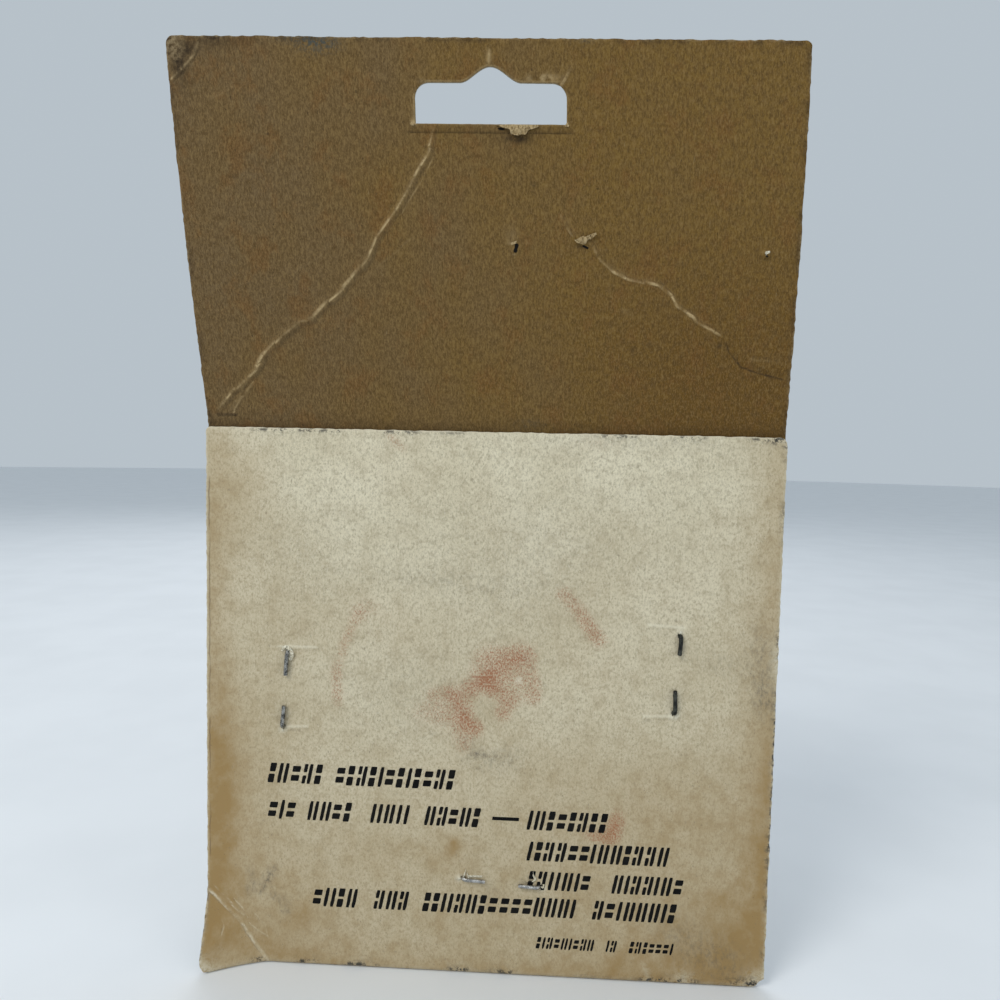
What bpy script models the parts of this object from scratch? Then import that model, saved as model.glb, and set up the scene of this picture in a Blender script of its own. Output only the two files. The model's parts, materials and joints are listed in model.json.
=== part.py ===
"""Carded pocket tape measure.

A folded paperboard hang card carries a clear pocket, held on by three wire
staples.  A small spring-return tape measure stands in the pocket.

Card axes: X across the card, Y from the card's back towards the tape, Z up.
Card coordinates start at the middle of the bottom fold, on the outer face of
the back flap.  An empty moves the whole object so that the world origin is the
point of the hang slot that bears on a display peg.
"""
import math

import bmesh
import bpy

MM = 0.001
GAP = 0.30 * MM                     # clearance between pieces that touch

# Folded card
CARD_W = 88.9 * MM                  # 3 1/2 in
CARD_H = 139.7 * MM                 # 5 1/2 in
FLAP_H = 86.5 * MM
BOARD_T = 0.55 * MM
BOARD_GAP = 0.35 * MM               # air between the flap and the front panel
HEADER_SLOPE = 0.239                # the header leans towards the flap side ...
HEADER_CURL = 1.19                  # ... and straightens again, per metre of height
HEADER_TWIST = 0.44                 # extra lean at the low-X edge, per metre of height
HEADER_SKEW = -1.45 * MM            # sideways drift of the header's top edge
HEADER_ROWS = 8
FOLD_STEPS = 8

# Hang slot, measured down from the top of its hump
SLOT_TOP = 136.10 * MM              # height of the hump's top above the bottom fold
SLOT_X = -0.75 * MM
SLOT_HALF_W = 10.57 * MM
SLOT_BAR_TOP = -2.05 * MM
SLOT_BOTTOM = -7.40 * MM
SLOT_CORNER_R = 2.0 * MM
HUMP_HALF_W = 4.5 * MM

# Staples
WIRE_R = 0.30 * MM
CROWN = 12.1 * MM                   # leg centre to leg centre
CLINCH = 4.0 * MM                   # length of a bent-over leg
WIRE_BEND_R = 0.5 * MM
STAPLE_HOLE_R = WIRE_R + 0.325 * MM
STAPLES = {                         # name: (crown middle x, crown middle z, crown along)
    "staple_left": (-31.7 * MM, 45.2 * MM, "Z"),
    "staple_right": (29.2 * MM, 49.6 * MM, "Z"),
    "staple_bottom": (2.9 * MM, 15.3 * MM, "X"),
}

# Tape case, in coordinates that start at the reel's axis
TAPE_X = -1.25 * MM
TAPE_Z = 47.0 * MM
CASE_HALF_W = 24.5 * MM
CASE_BOTTOM = -25.0 * MM
CASE_HALF_D = 10.0 * MM
CASE_WALL = 1.2 * MM
CASE_EDGE_R = 2.2 * MM
HEEL_R = 12.0 * MM
TOE_R = 2.5 * MM
SEAM = 0.15 * MM                    # half the gap between the two shells
BADGE_R = 14.0 * MM
BADGE_T = 0.6 * MM

# Case screws and their bosses
SCREWS = [(-18.0 * MM, -18.5 * MM), (12.5 * MM, -21.7 * MM),
          (-13.6 * MM, 16.3 * MM), (13.6 * MM, 16.3 * MM)]
BOSS_R = 2.4 * MM
BOSS_END = 0.5 * MM
SCREW_HOLE_R = 1.1 * MM
SCREW_SHANK_R = 0.8 * MM
SCREW_HEAD_R = 1.6 * MM
SCREW_HEAD_T = 1.2 * MM
COUNTERBORE_R = SCREW_HEAD_R + GAP
COUNTERBORE = 2.0 * MM

# Reel, blade and spring
BLADE_W = 12.7 * MM                 # 1/2 in
BLADE_T = 0.30 * MM
COIL_R = 18.0 * MM
COIL_CORE_R = 14.05 * MM
DRUM_R = 13.7 * MM
DRUM_WALL = 1.0 * MM
DRUM_HALF_W = 6.9 * MM
ARBOR_R = 3.0 * MM
ARBOR_FOOT_R = 5.0 * MM
ARBOR_FOOT_T = 0.6 * MM
RUNNING_GAP = 0.2 * MM
WASHER_R = 8.0 * MM
WASHER_T = 0.5 * MM
SPRING_T = 0.45 * MM
SPRING_HALF_W = 5.2 * MM
SPRING_TURNS = 4.5
SPRING_INNER_R = 3.9 * MM
SPRING_OUTER_R = 12.1 * MM
BLADE_Z = -(COIL_R + GAP + BLADE_T / 2)

# Hook, rivets, mouth and lock
HOOK_T = 0.6 * MM
HOOK_BACK = 15.5 * MM
HOOK_FACE = CASE_HALF_W + 0.5 * MM
HOOK_DROP = -24.2 * MM
HOOK_PLAY = 0.8 * MM
RIVET_X = 18.5 * MM
RIVET_Y = 3.2 * MM
RIVET_R = 0.7 * MM
RIVET_HEAD_R = 1.4 * MM
RIVET_HEAD_T = 0.4 * MM
MOUTH_LOW = -20.6 * MM
MOUTH_HIGH = -16.9 * MM
MOUTH_HALF_W = 6.8 * MM
LIP_LENGTH = 5.0 * MM
LOCK_TRAVEL = 3.6 * MM
LOCK_TOP = -5.0 * MM
LOCK_BOTTOM = -12.0 * MM
STEM_HALF_W = 3.0 * MM
PAD_HALF_W = 5.0 * MM
BRAKE_BOTTOM = -14.3 * MM
BRAKE_T = 1.0 * MM

# Clear pocket, in tape coordinates except for its flange
POCKET_WALL = 0.4 * MM
POCKET_HALF_W = CASE_HALF_W + 1.0 * MM
POCKET_BOTTOM = CASE_BOTTOM - 0.35 * MM
POCKET_TOP = 16.0 * MM
POCKET_EDGE_R = 3.0 * MM
FLANGE_HALF_W = 34.2 * MM
FLANGE_BOTTOM = -35.4 * MM
FLANGE_CORNER_R = 4.0 * MM
SLIT_HALF_W = 7.2 * MM
SLIT_BOTTOM = -24.6 * MM

# Depths measured in card coordinates
PANEL_BACK = BOARD_T + BOARD_GAP
PANEL_FRONT = PANEL_BACK + BOARD_T
FLANGE_BACK = PANEL_FRONT + GAP
FLANGE_FRONT = FLANGE_BACK + POCKET_WALL
TAPE_Y = PANEL_FRONT + GAP + 0.05 * MM + CASE_HALF_D
POCKET_FRONT = CASE_HALF_D + GAP + BADGE_T + 0.5 * MM      # inner face, tape coordinates


# ---------------------------------------------------------------- basics

def clear_scene():
    for obj in list(bpy.data.objects):
        bpy.data.objects.remove(obj, do_unlink=True)


def new_collection(name):
    collection = bpy.data.collections.new(name)
    bpy.context.scene.collection.children.link(collection)
    return collection


def new_material(name, colour, roughness, metallic=0.0, alpha=1.0):
    mat = bpy.data.materials.new(name)
    mat.use_nodes = True
    shader = mat.node_tree.nodes["Principled BSDF"]
    shader.inputs["Base Color"].default_value = (*colour, 1.0)
    shader.inputs["Roughness"].default_value = roughness
    shader.inputs["Metallic"].default_value = metallic
    shader.inputs["Alpha"].default_value = alpha
    return mat


def new_empty(name, location, parent=None):
    empty = bpy.data.objects.new(name, None)
    empty.location = location
    empty.parent = parent
    PARTS.objects.link(empty)
    return empty


def add_object(name, mesh, parent, mat=None):
    """Link a mesh as a part when it has a material, and as a cutter when not."""
    obj = bpy.data.objects.new(name, mesh)
    obj.parent = parent
    if mat is None:
        CUTTERS.objects.link(obj)
        obj.hide_render = True
        obj.display_type = "WIRE"
    else:
        PARTS.objects.link(obj)
        mesh.materials.append(mat)
    return obj


def smooth(mesh, angle=35):
    mesh.shade_smooth()
    mesh.set_sharp_from_angle(angle=math.radians(angle))


# ---------------------------------------------------------------- shapes

def arc(cx, cz, radius, start, end, steps):
    """Points along an arc, from start to end in degrees."""
    angles = [math.radians(start + (end - start) * i / steps) for i in range(steps + 1)]
    return [(cx + radius * math.cos(a), cz + radius * math.sin(a)) for a in angles]


def box(name, low, high, parent, mat=None):
    mesh = bpy.data.meshes.new(name)
    bm = bmesh.new()
    bmesh.ops.create_cube(bm, size=1.0)
    for vert in bm.verts:
        vert.co = [l + (h - l) * (c + 0.5) for l, h, c in zip(low, high, vert.co)]
    bm.to_mesh(mesh)
    bm.free()
    return add_object(name, mesh, parent, mat)


def rod(name, x, z, radius, back, front, parent, mat=None, sides=20):
    """A cylinder along Y."""
    mesh = bpy.data.meshes.new(name)
    bm = bmesh.new()
    bmesh.ops.create_cone(bm, cap_ends=True, segments=sides, radius1=radius, radius2=radius,
                          depth=front - back)
    bm.to_mesh(mesh)
    bm.free()
    obj = add_object(name, mesh, parent, mat)
    obj.location = (x, (back + front) / 2, z)
    obj.rotation_euler = (math.radians(90), 0, 0)
    return obj


def outline_mesh(name, outline, back, front):
    """Fill a flat X-Z outline and extrude it along Y."""
    curve = bpy.data.curves.new(name, "CURVE")
    curve.dimensions = "2D"
    curve.fill_mode = "BOTH"
    curve.extrude = (front - back) / 2
    spline = curve.splines.new("POLY")
    spline.points.add(len(outline) - 1)
    for point, (x, z) in zip(spline.points, outline):
        point.co = (x, z, 0, 1)
    spline.use_cyclic_u = True
    flat = bpy.data.objects.new(name, curve)
    flat.location = (0, (back + front) / 2, 0)
    flat.rotation_euler = (math.radians(90), 0, 0)
    bpy.context.scene.collection.objects.link(flat)
    bpy.context.view_layer.update()
    mesh = bpy.data.meshes.new_from_object(flat.evaluated_get(bpy.context.evaluated_depsgraph_get()))
    mesh.transform(flat.matrix_world)
    bpy.data.objects.remove(flat, do_unlink=True)
    bm = bmesh.new()
    bm.from_mesh(mesh)
    bmesh.ops.remove_doubles(bm, verts=bm.verts, dist=0.00001)
    bmesh.ops.dissolve_limit(bm, angle_limit=math.radians(1), verts=bm.verts, edges=bm.edges)
    bmesh.ops.recalc_face_normals(bm, faces=bm.faces)
    bm.to_mesh(mesh)
    bm.free()
    return mesh


def plate(name, outline, back, front, parent, mat=None):
    return add_object(name, outline_mesh(name, outline, back, front), parent, mat)


def turned(name, profile, parent, mat, closed, steps=48, along="Y"):
    """Turn a profile of (radius, height) about an axis.  It runs down the outer side."""
    mesh = bpy.data.meshes.new(name)
    bm = bmesh.new()
    verts = [bm.verts.new((r, 0, h)) for r, h in profile]
    for a, b in zip(verts, verts[1:]):
        bm.edges.new((a, b))
    if closed:
        bm.edges.new((verts[-1], verts[0]))
    bm.to_mesh(mesh)
    bm.free()
    obj = add_object(name, mesh, parent, mat)
    screw = obj.modifiers.new("turn", "SCREW")
    screw.axis = "Z"
    screw.steps = steps
    screw.render_steps = steps
    screw.use_merge_vertices = True
    screw.merge_threshold = 0.00001
    if along == "Y":
        obj.rotation_euler = (math.radians(-90), 0, 0)
    return obj


def strip(name, path, parent, mat, thickness, across, ends):
    """Extrude an open path of points along an axis and give the sheet its thickness."""
    mesh = bpy.data.meshes.new(name)
    bm = bmesh.new()
    verts = []
    for point in path:
        point = list(point)
        point[across] = ends[0]
        verts.append(bm.verts.new(point))
    edges = [bm.edges.new(pair) for pair in zip(verts, verts[1:])]
    grown = bmesh.ops.extrude_edge_only(bm, edges=edges)["geom"]
    for vert in grown:
        if isinstance(vert, bmesh.types.BMVert):
            vert.co[across] = ends[1]
    bm.to_mesh(mesh)
    bm.free()
    obj = add_object(name, mesh, parent, mat)
    shell = obj.modifiers.new("board", "SOLIDIFY")
    shell.thickness = thickness
    shell.offset = 0
    shell.use_even_offset = True
    return obj


def boolean(obj, cutter, operation="DIFFERENCE"):
    mod = obj.modifiers.new(operation.lower() + "_" + cutter.name, "BOOLEAN")
    mod.operation = operation
    mod.solver = "EXACT"
    mod.object = cutter


def round_edges(obj, width, segments, angle=60):
    mod = obj.modifiers.new("round", "BEVEL")
    mod.width = width
    mod.segments = segments
    mod.limit_method = "ANGLE"
    mod.angle_limit = math.radians(angle)


# ---------------------------------------------------------------- card

def header_offset(height):
    """How far the sheet has leaned towards the flap side at a height."""
    rise = max(height - FLAP_H, 0.0)
    return HEADER_SLOPE * rise - HEADER_CURL * rise * rise


def header_twist(x, height):
    """Extra lean of the low-X edge, and less of the other."""
    return -HEADER_TWIST * x * max(height - FLAP_H, 0.0)


def header_drift(height):
    return HEADER_SKEW * max(height - FLAP_H, 0.0) / (CARD_H - FLAP_H)


def card_path():
    """The sheet's middle line: down the flap, round the fold, up panel and header."""
    fold_r = (BOARD_T + BOARD_GAP) / 2
    fold_y = BOARD_T / 2 + fold_r
    fold_z = BOARD_T / 2 + fold_r
    path = [(0, BOARD_T / 2, FLAP_H - GAP)]
    path += [(0, y, z) for y, z in arc(fold_y, fold_z, fold_r, 180, 360, FOLD_STEPS)]
    panel_y = PANEL_BACK + BOARD_T / 2
    for row in range(HEADER_ROWS + 1):
        height = FLAP_H + (CARD_H - FLAP_H) * row / HEADER_ROWS
        path.append((0, panel_y - header_offset(height), height))
    return path


def slot_outline():
    """Flat-bottomed hang slot with rounded upper corners and a bell-shaped hump."""
    right = [(SLOT_HALF_W, SLOT_BOTTOM)]
    right += arc(SLOT_HALF_W - SLOT_CORNER_R, SLOT_BAR_TOP - SLOT_CORNER_R, SLOT_CORNER_R, 0, 90, 5)
    hump = []
    for step in range(1, 16):
        x = HUMP_HALF_W * (1 - step / 8)
        bell = 0.5 + 0.5 * math.cos(math.pi * x / HUMP_HALF_W)
        hump.append((x, SLOT_BAR_TOP * (1 - bell)))
    left = [(-x, z) for x, z in reversed(right)]
    return right + hump + left


def make_card(parent):
    card = strip("hang_card", card_path(), parent, BOARD, BOARD_T, 0, (-CARD_W / 2, CARD_W / 2))
    bm = bmesh.new()
    bm.from_mesh(card.data)
    bmesh.ops.triangulate(bm, faces=bm.faces)
    bm.to_mesh(card.data)
    bm.free()
    for vert in card.data.vertices:
        vert.co.y -= header_twist(vert.co.x, vert.co.z)
        vert.co.x += header_drift(vert.co.z)
    slot = [(SLOT_X + x, SLOT_TOP + z) for x, z in slot_outline()]
    slot_depth = 2 * header_offset(CARD_H)
    boolean(card, plate("cut_hang_slot", slot, -slot_depth, PANEL_FRONT, parent))
    return card


def staple_path():
    """Half of a closed staple as (along the crown, depth) from a tip to the crown."""
    leg = CROWN / 2
    back = -GAP - WIRE_R
    front = FLANGE_FRONT + GAP + WIRE_R
    inner = leg - WIRE_BEND_R
    half = [(leg - CLINCH, back)]
    half += arc(inner, back + WIRE_BEND_R, WIRE_BEND_R, -90, 0, 4)
    half += arc(inner, front - WIRE_BEND_R, WIRE_BEND_R, 0, 90, 4)
    return half


def make_staple(name, parent):
    x, z, along = STAPLES[name]
    half = staple_path()
    whole = half + [(-s, y) for s, y in reversed(half)]
    curve = bpy.data.curves.new(name, "CURVE")
    curve.dimensions = "3D"
    curve.bevel_depth = WIRE_R
    curve.bevel_resolution = 2
    curve.use_fill_caps = True
    spline = curve.splines.new("POLY")
    spline.points.add(len(whole) - 1)
    for point, (s, y) in zip(spline.points, whole):
        point.co = (s, y, 0, 1)
    staple = bpy.data.objects.new(name, curve)
    staple.parent = parent
    staple.location = (x, 0, z)
    if along == "Z":
        staple.rotation_euler = (0, math.radians(90), 0)
    PARTS.objects.link(staple)
    curve.materials.append(STEEL)


def staple_holes(parent):
    cutters = []
    for name, (x, z, along) in STAPLES.items():
        for side in (-1, 1):
            hole_x = x + (side * CROWN / 2 if along == "X" else 0)
            hole_z = z + (side * CROWN / 2 if along == "Z" else 0)
            cutters.append(rod(f"cut_{name}_{side}", hole_x, hole_z, STAPLE_HOLE_R,
                               -2 * BOARD_T, FLANGE_FRONT + BOARD_T, parent, sides=10))
    return cutters


# ---------------------------------------------------------------- clear pocket

def pocket_outline(grow, top):
    """An open-topped U that follows the case's base and sides."""
    half = POCKET_HALF_W + grow
    low = POCKET_BOTTOM - grow
    heel = HEEL_R + grow
    toe = TOE_R + grow
    outline = arc(half - toe, low + toe, toe, -90, 0, 4)
    outline += [(half, top), (-half, top)]
    outline += arc(heel - half, low + heel, heel, 180, 270, 8)
    return outline


def flange_outline():
    radius = FLANGE_CORNER_R
    outline = arc(FLANGE_HALF_W - radius, FLANGE_BOTTOM + radius, radius, -90, 0, 5)
    outline += [(FLANGE_HALF_W, POCKET_TOP), (-FLANGE_HALF_W, POCKET_TOP)]
    outline += arc(radius - FLANGE_HALF_W, FLANGE_BOTTOM + radius, radius, 180, 270, 5)
    return outline


def make_pocket(tape, holes):
    """Flange and dome joined, then hollowed, opened at the top and slit for the hook."""
    back = FLANGE_BACK - TAPE_Y
    flange_front = FLANGE_FRONT - TAPE_Y
    spare = 4 * MM
    pocket = plate("clear_blister", flange_outline(), back, flange_front, tape, CLEAR)
    dome = plate("join_dome", pocket_outline(POCKET_WALL, POCKET_TOP + spare), back - spare,
                 POCKET_FRONT + POCKET_WALL, tape)
    round_edges(dome, POCKET_EDGE_R, 3)
    hollow = plate("cut_hollow", pocket_outline(0, POCKET_TOP + 2 * spare), back - 2 * spare,
                   POCKET_FRONT, tape)
    round_edges(hollow, POCKET_EDGE_R - POCKET_WALL, 3)
    behind = box("cut_behind", (-POCKET_HALF_W - spare, back - 3 * spare, POCKET_BOTTOM - spare),
                 (POCKET_HALF_W + spare, back, POCKET_TOP + 3 * spare), tape)
    above = box("cut_above", (-2 * POCKET_HALF_W, back - spare, POCKET_TOP),
                (2 * POCKET_HALF_W, POCKET_FRONT + spare, POCKET_TOP + 3 * spare), tape)
    slit = box("cut_slit", (POCKET_HALF_W - 2 * TOE_R, -SLIT_HALF_W, SLIT_BOTTOM),
               (POCKET_HALF_W + spare, SLIT_HALF_W, POCKET_TOP + spare), tape)
    boolean(pocket, dome, "UNION")
    for cutter in (behind, hollow, above, slit, *holes):
        boolean(pocket, cutter)


# ---------------------------------------------------------------- tape case

def case_outline():
    """Round back and top, flat base, a square toe where the blade comes out."""
    outline = arc(CASE_HALF_W - TOE_R, CASE_BOTTOM + TOE_R, TOE_R, -90, 0, 4)
    outline += arc(0, 0, CASE_HALF_W, 0, 180, 26)
    outline += arc(HEEL_R - CASE_HALF_W, CASE_BOTTOM + HEEL_R, HEEL_R, 180, 270, 8)
    return outline


def make_shell(name, side, tape, mat):
    """Half a case: an open dish, its rim at the seam and its face at side * depth."""
    back, front = sorted((side * SEAM, side * CASE_HALF_D))
    mesh = outline_mesh(name, case_outline(), back, front)
    bm = bmesh.new()
    bm.from_mesh(mesh)
    rim = [f for f in bm.faces if all(abs(v.co.y - side * SEAM) < GAP / 10 for v in f.verts)]
    bmesh.ops.delete(bm, geom=rim, context="FACES_ONLY")
    bm.to_mesh(mesh)
    bm.free()
    shell = add_object(name, mesh, tape, mat)
    round_edges(shell, CASE_EDGE_R, 3)
    wall = shell.modifiers.new("wall", "SOLIDIFY")
    wall.thickness = CASE_WALL
    wall.offset = -1
    wall.use_even_offset = True
    smooth(mesh)
    return shell


def case_cutters(tape):
    """The blade's mouth and the lock's slot, shared by both shells."""
    inside = CASE_HALF_W - 2 * CASE_WALL
    outside = CASE_HALF_W + CASE_WALL
    mouth = box("cut_mouth", (inside, -MOUTH_HALF_W, MOUTH_LOW), (outside, MOUTH_HALF_W, MOUTH_HIGH), tape)
    half = STEM_HALF_W + GAP
    stem = box("cut_lock_slot", (inside, -half, LOCK_BOTTOM + MM - LOCK_TRAVEL - GAP),
               (outside, half, LOCK_TOP - MM + GAP), tape)
    return [mouth, stem]


def make_case(tape):
    rear = make_shell("case_rear_shell", -1, tape, CHROME)
    front = make_shell("case_front_shell", 1, tape, CHROME)
    inner = CASE_HALF_D - CASE_WALL / 2
    for number, (x, z) in enumerate(SCREWS, 1):
        boss = rod(f"join_rear_boss_{number}", x, z, BOSS_R, -inner, -BOSS_END, tape)
        boolean(rear, boss, "UNION")
        boss = rod(f"join_front_boss_{number}", x, z, BOSS_R, BOSS_END, inner, tape)
        boolean(front, boss, "UNION")
    for number, (x, z) in enumerate(SCREWS, 1):
        bore = rod(f"cut_screw_{number}", x, z, SCREW_HOLE_R, -CASE_HALF_D - MM, inner - 2 * CASE_WALL, tape)
        head = rod(f"cut_head_{number}", x, z, COUNTERBORE_R, -CASE_HALF_D - MM,
                   COUNTERBORE - CASE_HALF_D, tape)
        boolean(rear, head)
        boolean(rear, bore)
        boolean(front, bore)
    for cutter in case_cutters(tape):
        boolean(rear, cutter)
        boolean(front, cutter)


def make_screws(tape):
    seat = COUNTERBORE - CASE_HALF_D - GAP
    top = seat - SCREW_HEAD_T
    end = CASE_HALF_D - 5 * CASE_WALL / 2 - 2 * GAP
    profile = [(0, end), (SCREW_SHANK_R, end), (SCREW_SHANK_R, seat), (SCREW_HEAD_R, seat),
               (SCREW_HEAD_R, top), (0, top)]
    for number, (x, z) in enumerate(SCREWS, 1):
        screw = turned(f"case_screw_{number}", profile, tape, STEEL, closed=False, steps=16)
        screw.location = (x, 0, z)


def make_badge(tape):
    back = CASE_HALF_D + GAP
    profile = [(0, back + BADGE_T), (BADGE_R - BADGE_T, back + BADGE_T), (BADGE_R, back), (0, back)]
    turned("face_badge", profile, tape, RED, closed=False, steps=48)


def make_mouth_lip(tape):
    """A wear block under the blade, just inside the mouth."""
    floor = CASE_BOTTOM + CASE_WALL + 2 * GAP
    face = CASE_HALF_W - CASE_WALL - 2 * GAP
    half = CASE_HALF_D - CASE_WALL - CASE_EDGE_R
    box("mouth_lip", (face - LIP_LENGTH, -half, floor), (face, half, MOUTH_LOW - GAP), tape, BLACK)


# ---------------------------------------------------------------- reel

def make_arbor(tape):
    end = CASE_HALF_D - CASE_WALL - GAP
    foot = ARBOR_FOOT_T - end
    profile = [(0, end), (ARBOR_R, end), (ARBOR_R, foot), (ARBOR_FOOT_R, foot), (ARBOR_FOOT_R, -end),
               (0, -end)]
    turned("arbor_post", profile, tape, NYLON, closed=False, steps=32)


def make_reel(reel):
    half = DRUM_HALF_W
    bore = ARBOR_R + RUNNING_GAP
    inner = DRUM_R - DRUM_WALL
    drum = [(DRUM_R, half), (DRUM_R, -half), (bore, -half), (bore, DRUM_WALL - half),
            (inner, DRUM_WALL - half), (inner, half)]
    turned("reel_drum", drum, reel, NYLON, closed=True)
    edge = BLADE_W / 2
    coil = [(COIL_R, edge), (COIL_R, -edge), (COIL_CORE_R, -edge), (COIL_CORE_R, edge)]
    turned("blade_coil", coil, reel, BLADE, closed=True, steps=64)
    low = half + GAP
    high = low + WASHER_T
    washer = [(WASHER_R, high), (WASHER_R, low), (bore, low), (bore, high)]
    turned("reel_washer", washer, reel, STEEL, closed=True, steps=32)


def make_spring(reel):
    """The power spring: a flat strip wound from the arbor out to the drum."""
    steps = int(SPRING_TURNS * 26)
    path = []
    for step in range(steps + 1):
        share = step / steps
        angle = 2 * math.pi * SPRING_TURNS * share
        radius = SPRING_INNER_R + (SPRING_OUTER_R - SPRING_INNER_R) * share
        path.append((radius * math.cos(angle), 0, radius * math.sin(angle)))
    strip("power_spring", path, reel, STEEL, SPRING_T, 1, (-SPRING_HALF_W, SPRING_HALF_W))


# ---------------------------------------------------------------- blade end and lock

def make_blade_end(tape):
    """The straight run of blade, its hook and the two rivets that the hook slides on."""
    half = BLADE_W / 2
    top = BLADE_Z + BLADE_T / 2
    low = BLADE_Z - BLADE_T / 2
    run = box("blade_run", (MM, -half, low), (HOOK_FACE, half, top), tape, BLADE)
    plate_top = low - GAP
    plate_low = plate_top - HOOK_T
    hook = box("end_hook", (HOOK_BACK, -half, plate_low), (HOOK_FACE + HOOK_T, half, plate_top), tape, STEEL)
    tab = box("join_hook_tab", (HOOK_FACE, -half, HOOK_DROP), (HOOK_FACE + HOOK_T, half, plate_low + GAP), tape)
    boolean(hook, tab, "UNION")
    reach = RIVET_R + GAP
    for number, y in enumerate((-RIVET_Y, RIVET_Y), 1):
        hole = box(f"cut_rivet_{number}", (RIVET_X - reach, y - reach, low - GAP),
                   (RIVET_X + reach, y + reach, top + GAP), tape)
        boolean(run, hole)
        slot = box(f"cut_hook_slot_{number}", (RIVET_X - reach - HOOK_PLAY, y - reach, plate_low - GAP),
                   (RIVET_X + reach, y + reach, plate_top + GAP), tape)
        boolean(hook, slot)
        make_rivet(f"hook_rivet_{number}", y, top + GAP, plate_low - GAP, tape)


def make_rivet(name, y, head_seat, tail_seat, tape):
    head = head_seat + RIVET_HEAD_T
    tail = tail_seat - RIVET_HEAD_T
    profile = [(0, head), (RIVET_HEAD_R, head), (RIVET_HEAD_R, head_seat), (RIVET_R, head_seat),
               (RIVET_R, tail_seat), (RIVET_HEAD_R, tail_seat), (RIVET_HEAD_R, tail), (0, tail)]
    rivet = turned(name, profile, tape, STEEL, closed=False, steps=16, along="Z")
    rivet.location = (RIVET_X, y, 0)


def make_lock(tape):
    """Thumb pad outside, stem through the wall, leg and rubber brake above the blade."""
    wall_out = CASE_HALF_W + GAP
    wall_in = CASE_HALF_W - CASE_WALL - GAP
    leg_back = wall_in - 2 * MM
    leg_low = BRAKE_BOTTOM + BRAKE_T + GAP
    lock = box("lock_button", (wall_out, -PAD_HALF_W, LOCK_BOTTOM), (wall_out + 2 * MM, PAD_HALF_W, LOCK_TOP),
               tape, BLACK)
    stem = box("join_stem", (leg_back + MM, -STEM_HALF_W, LOCK_BOTTOM + MM),
               (wall_out + MM, STEM_HALF_W, LOCK_TOP - MM), tape)
    leg = box("join_leg", (leg_back, -PAD_HALF_W, leg_low), (wall_in, PAD_HALF_W, LOCK_TOP), tape)
    boolean(lock, stem, "UNION")
    boolean(lock, leg, "UNION")
    box("brake_pad", (leg_back, -PAD_HALF_W, BRAKE_BOTTOM), (wall_in, PAD_HALF_W, BRAKE_BOTTOM + BRAKE_T),
        tape, RUBBER)


# ---------------------------------------------------------------- build

clear_scene()
PARTS = new_collection("carded_tape_measure")
CUTTERS = new_collection("cutters")

BOARD = new_material("board", (0.55, 0.50, 0.38), 0.85)
STEEL = new_material("steel", (0.45, 0.45, 0.46), 0.35, 1.0)
CLEAR = new_material("clear_plastic", (0.92, 0.94, 0.95), 0.08, 0.0, 0.35)
CHROME = new_material("chrome", (0.80, 0.80, 0.82), 0.12, 1.0)
RED = new_material("red_enamel", (0.55, 0.03, 0.02), 0.35)
NYLON = new_material("nylon", (0.80, 0.79, 0.74), 0.5)
BLADE = new_material("blade_enamel", (0.86, 0.84, 0.76), 0.35)
BLACK = new_material("black_plastic", (0.03, 0.03, 0.03), 0.45)
RUBBER = new_material("rubber", (0.05, 0.05, 0.05), 0.8)

SLOT_LEAN = header_offset(SLOT_TOP) + header_twist(SLOT_X, SLOT_TOP)
BEARING = (SLOT_X, PANEL_BACK + BOARD_T / 2 - SLOT_LEAN, SLOT_TOP)
CARD_FRAME = new_empty("card_frame", [-c for c in BEARING])
TAPE_FRAME = new_empty("tape_frame", (TAPE_X, TAPE_Y, TAPE_Z), CARD_FRAME)
REEL_AXIS = new_empty("reel_axis", (0, 0, 0), TAPE_FRAME)

HOLES = staple_holes(CARD_FRAME)
CARD = make_card(CARD_FRAME)
for hole_cutter in HOLES:
    boolean(CARD, hole_cutter)
for staple_name in STAPLES:
    make_staple(staple_name, CARD_FRAME)
make_pocket(TAPE_FRAME, HOLES)
make_case(TAPE_FRAME)
make_screws(TAPE_FRAME)
make_badge(TAPE_FRAME)
make_mouth_lip(TAPE_FRAME)
make_arbor(TAPE_FRAME)
make_reel(REEL_AXIS)
make_spring(REEL_AXIS)
make_blade_end(TAPE_FRAME)
make_lock(TAPE_FRAME)
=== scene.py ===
"""Looks of the carded pocket tape measure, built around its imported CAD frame.

Card coordinates are millimetres: u across the card, v up from the bottom fold.
On the sheet itself the second coordinate is q: q = -v on the back flap, and
q = v on the front panel and the header, so one flat pattern holds the whole card.
"""
import json
import math

import bpy
import numpy as np
from mathutils import Matrix, Vector
from mathutils.geometry import delaunay_2d_cdt
from mathutils.kdtree import KDTree

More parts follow.
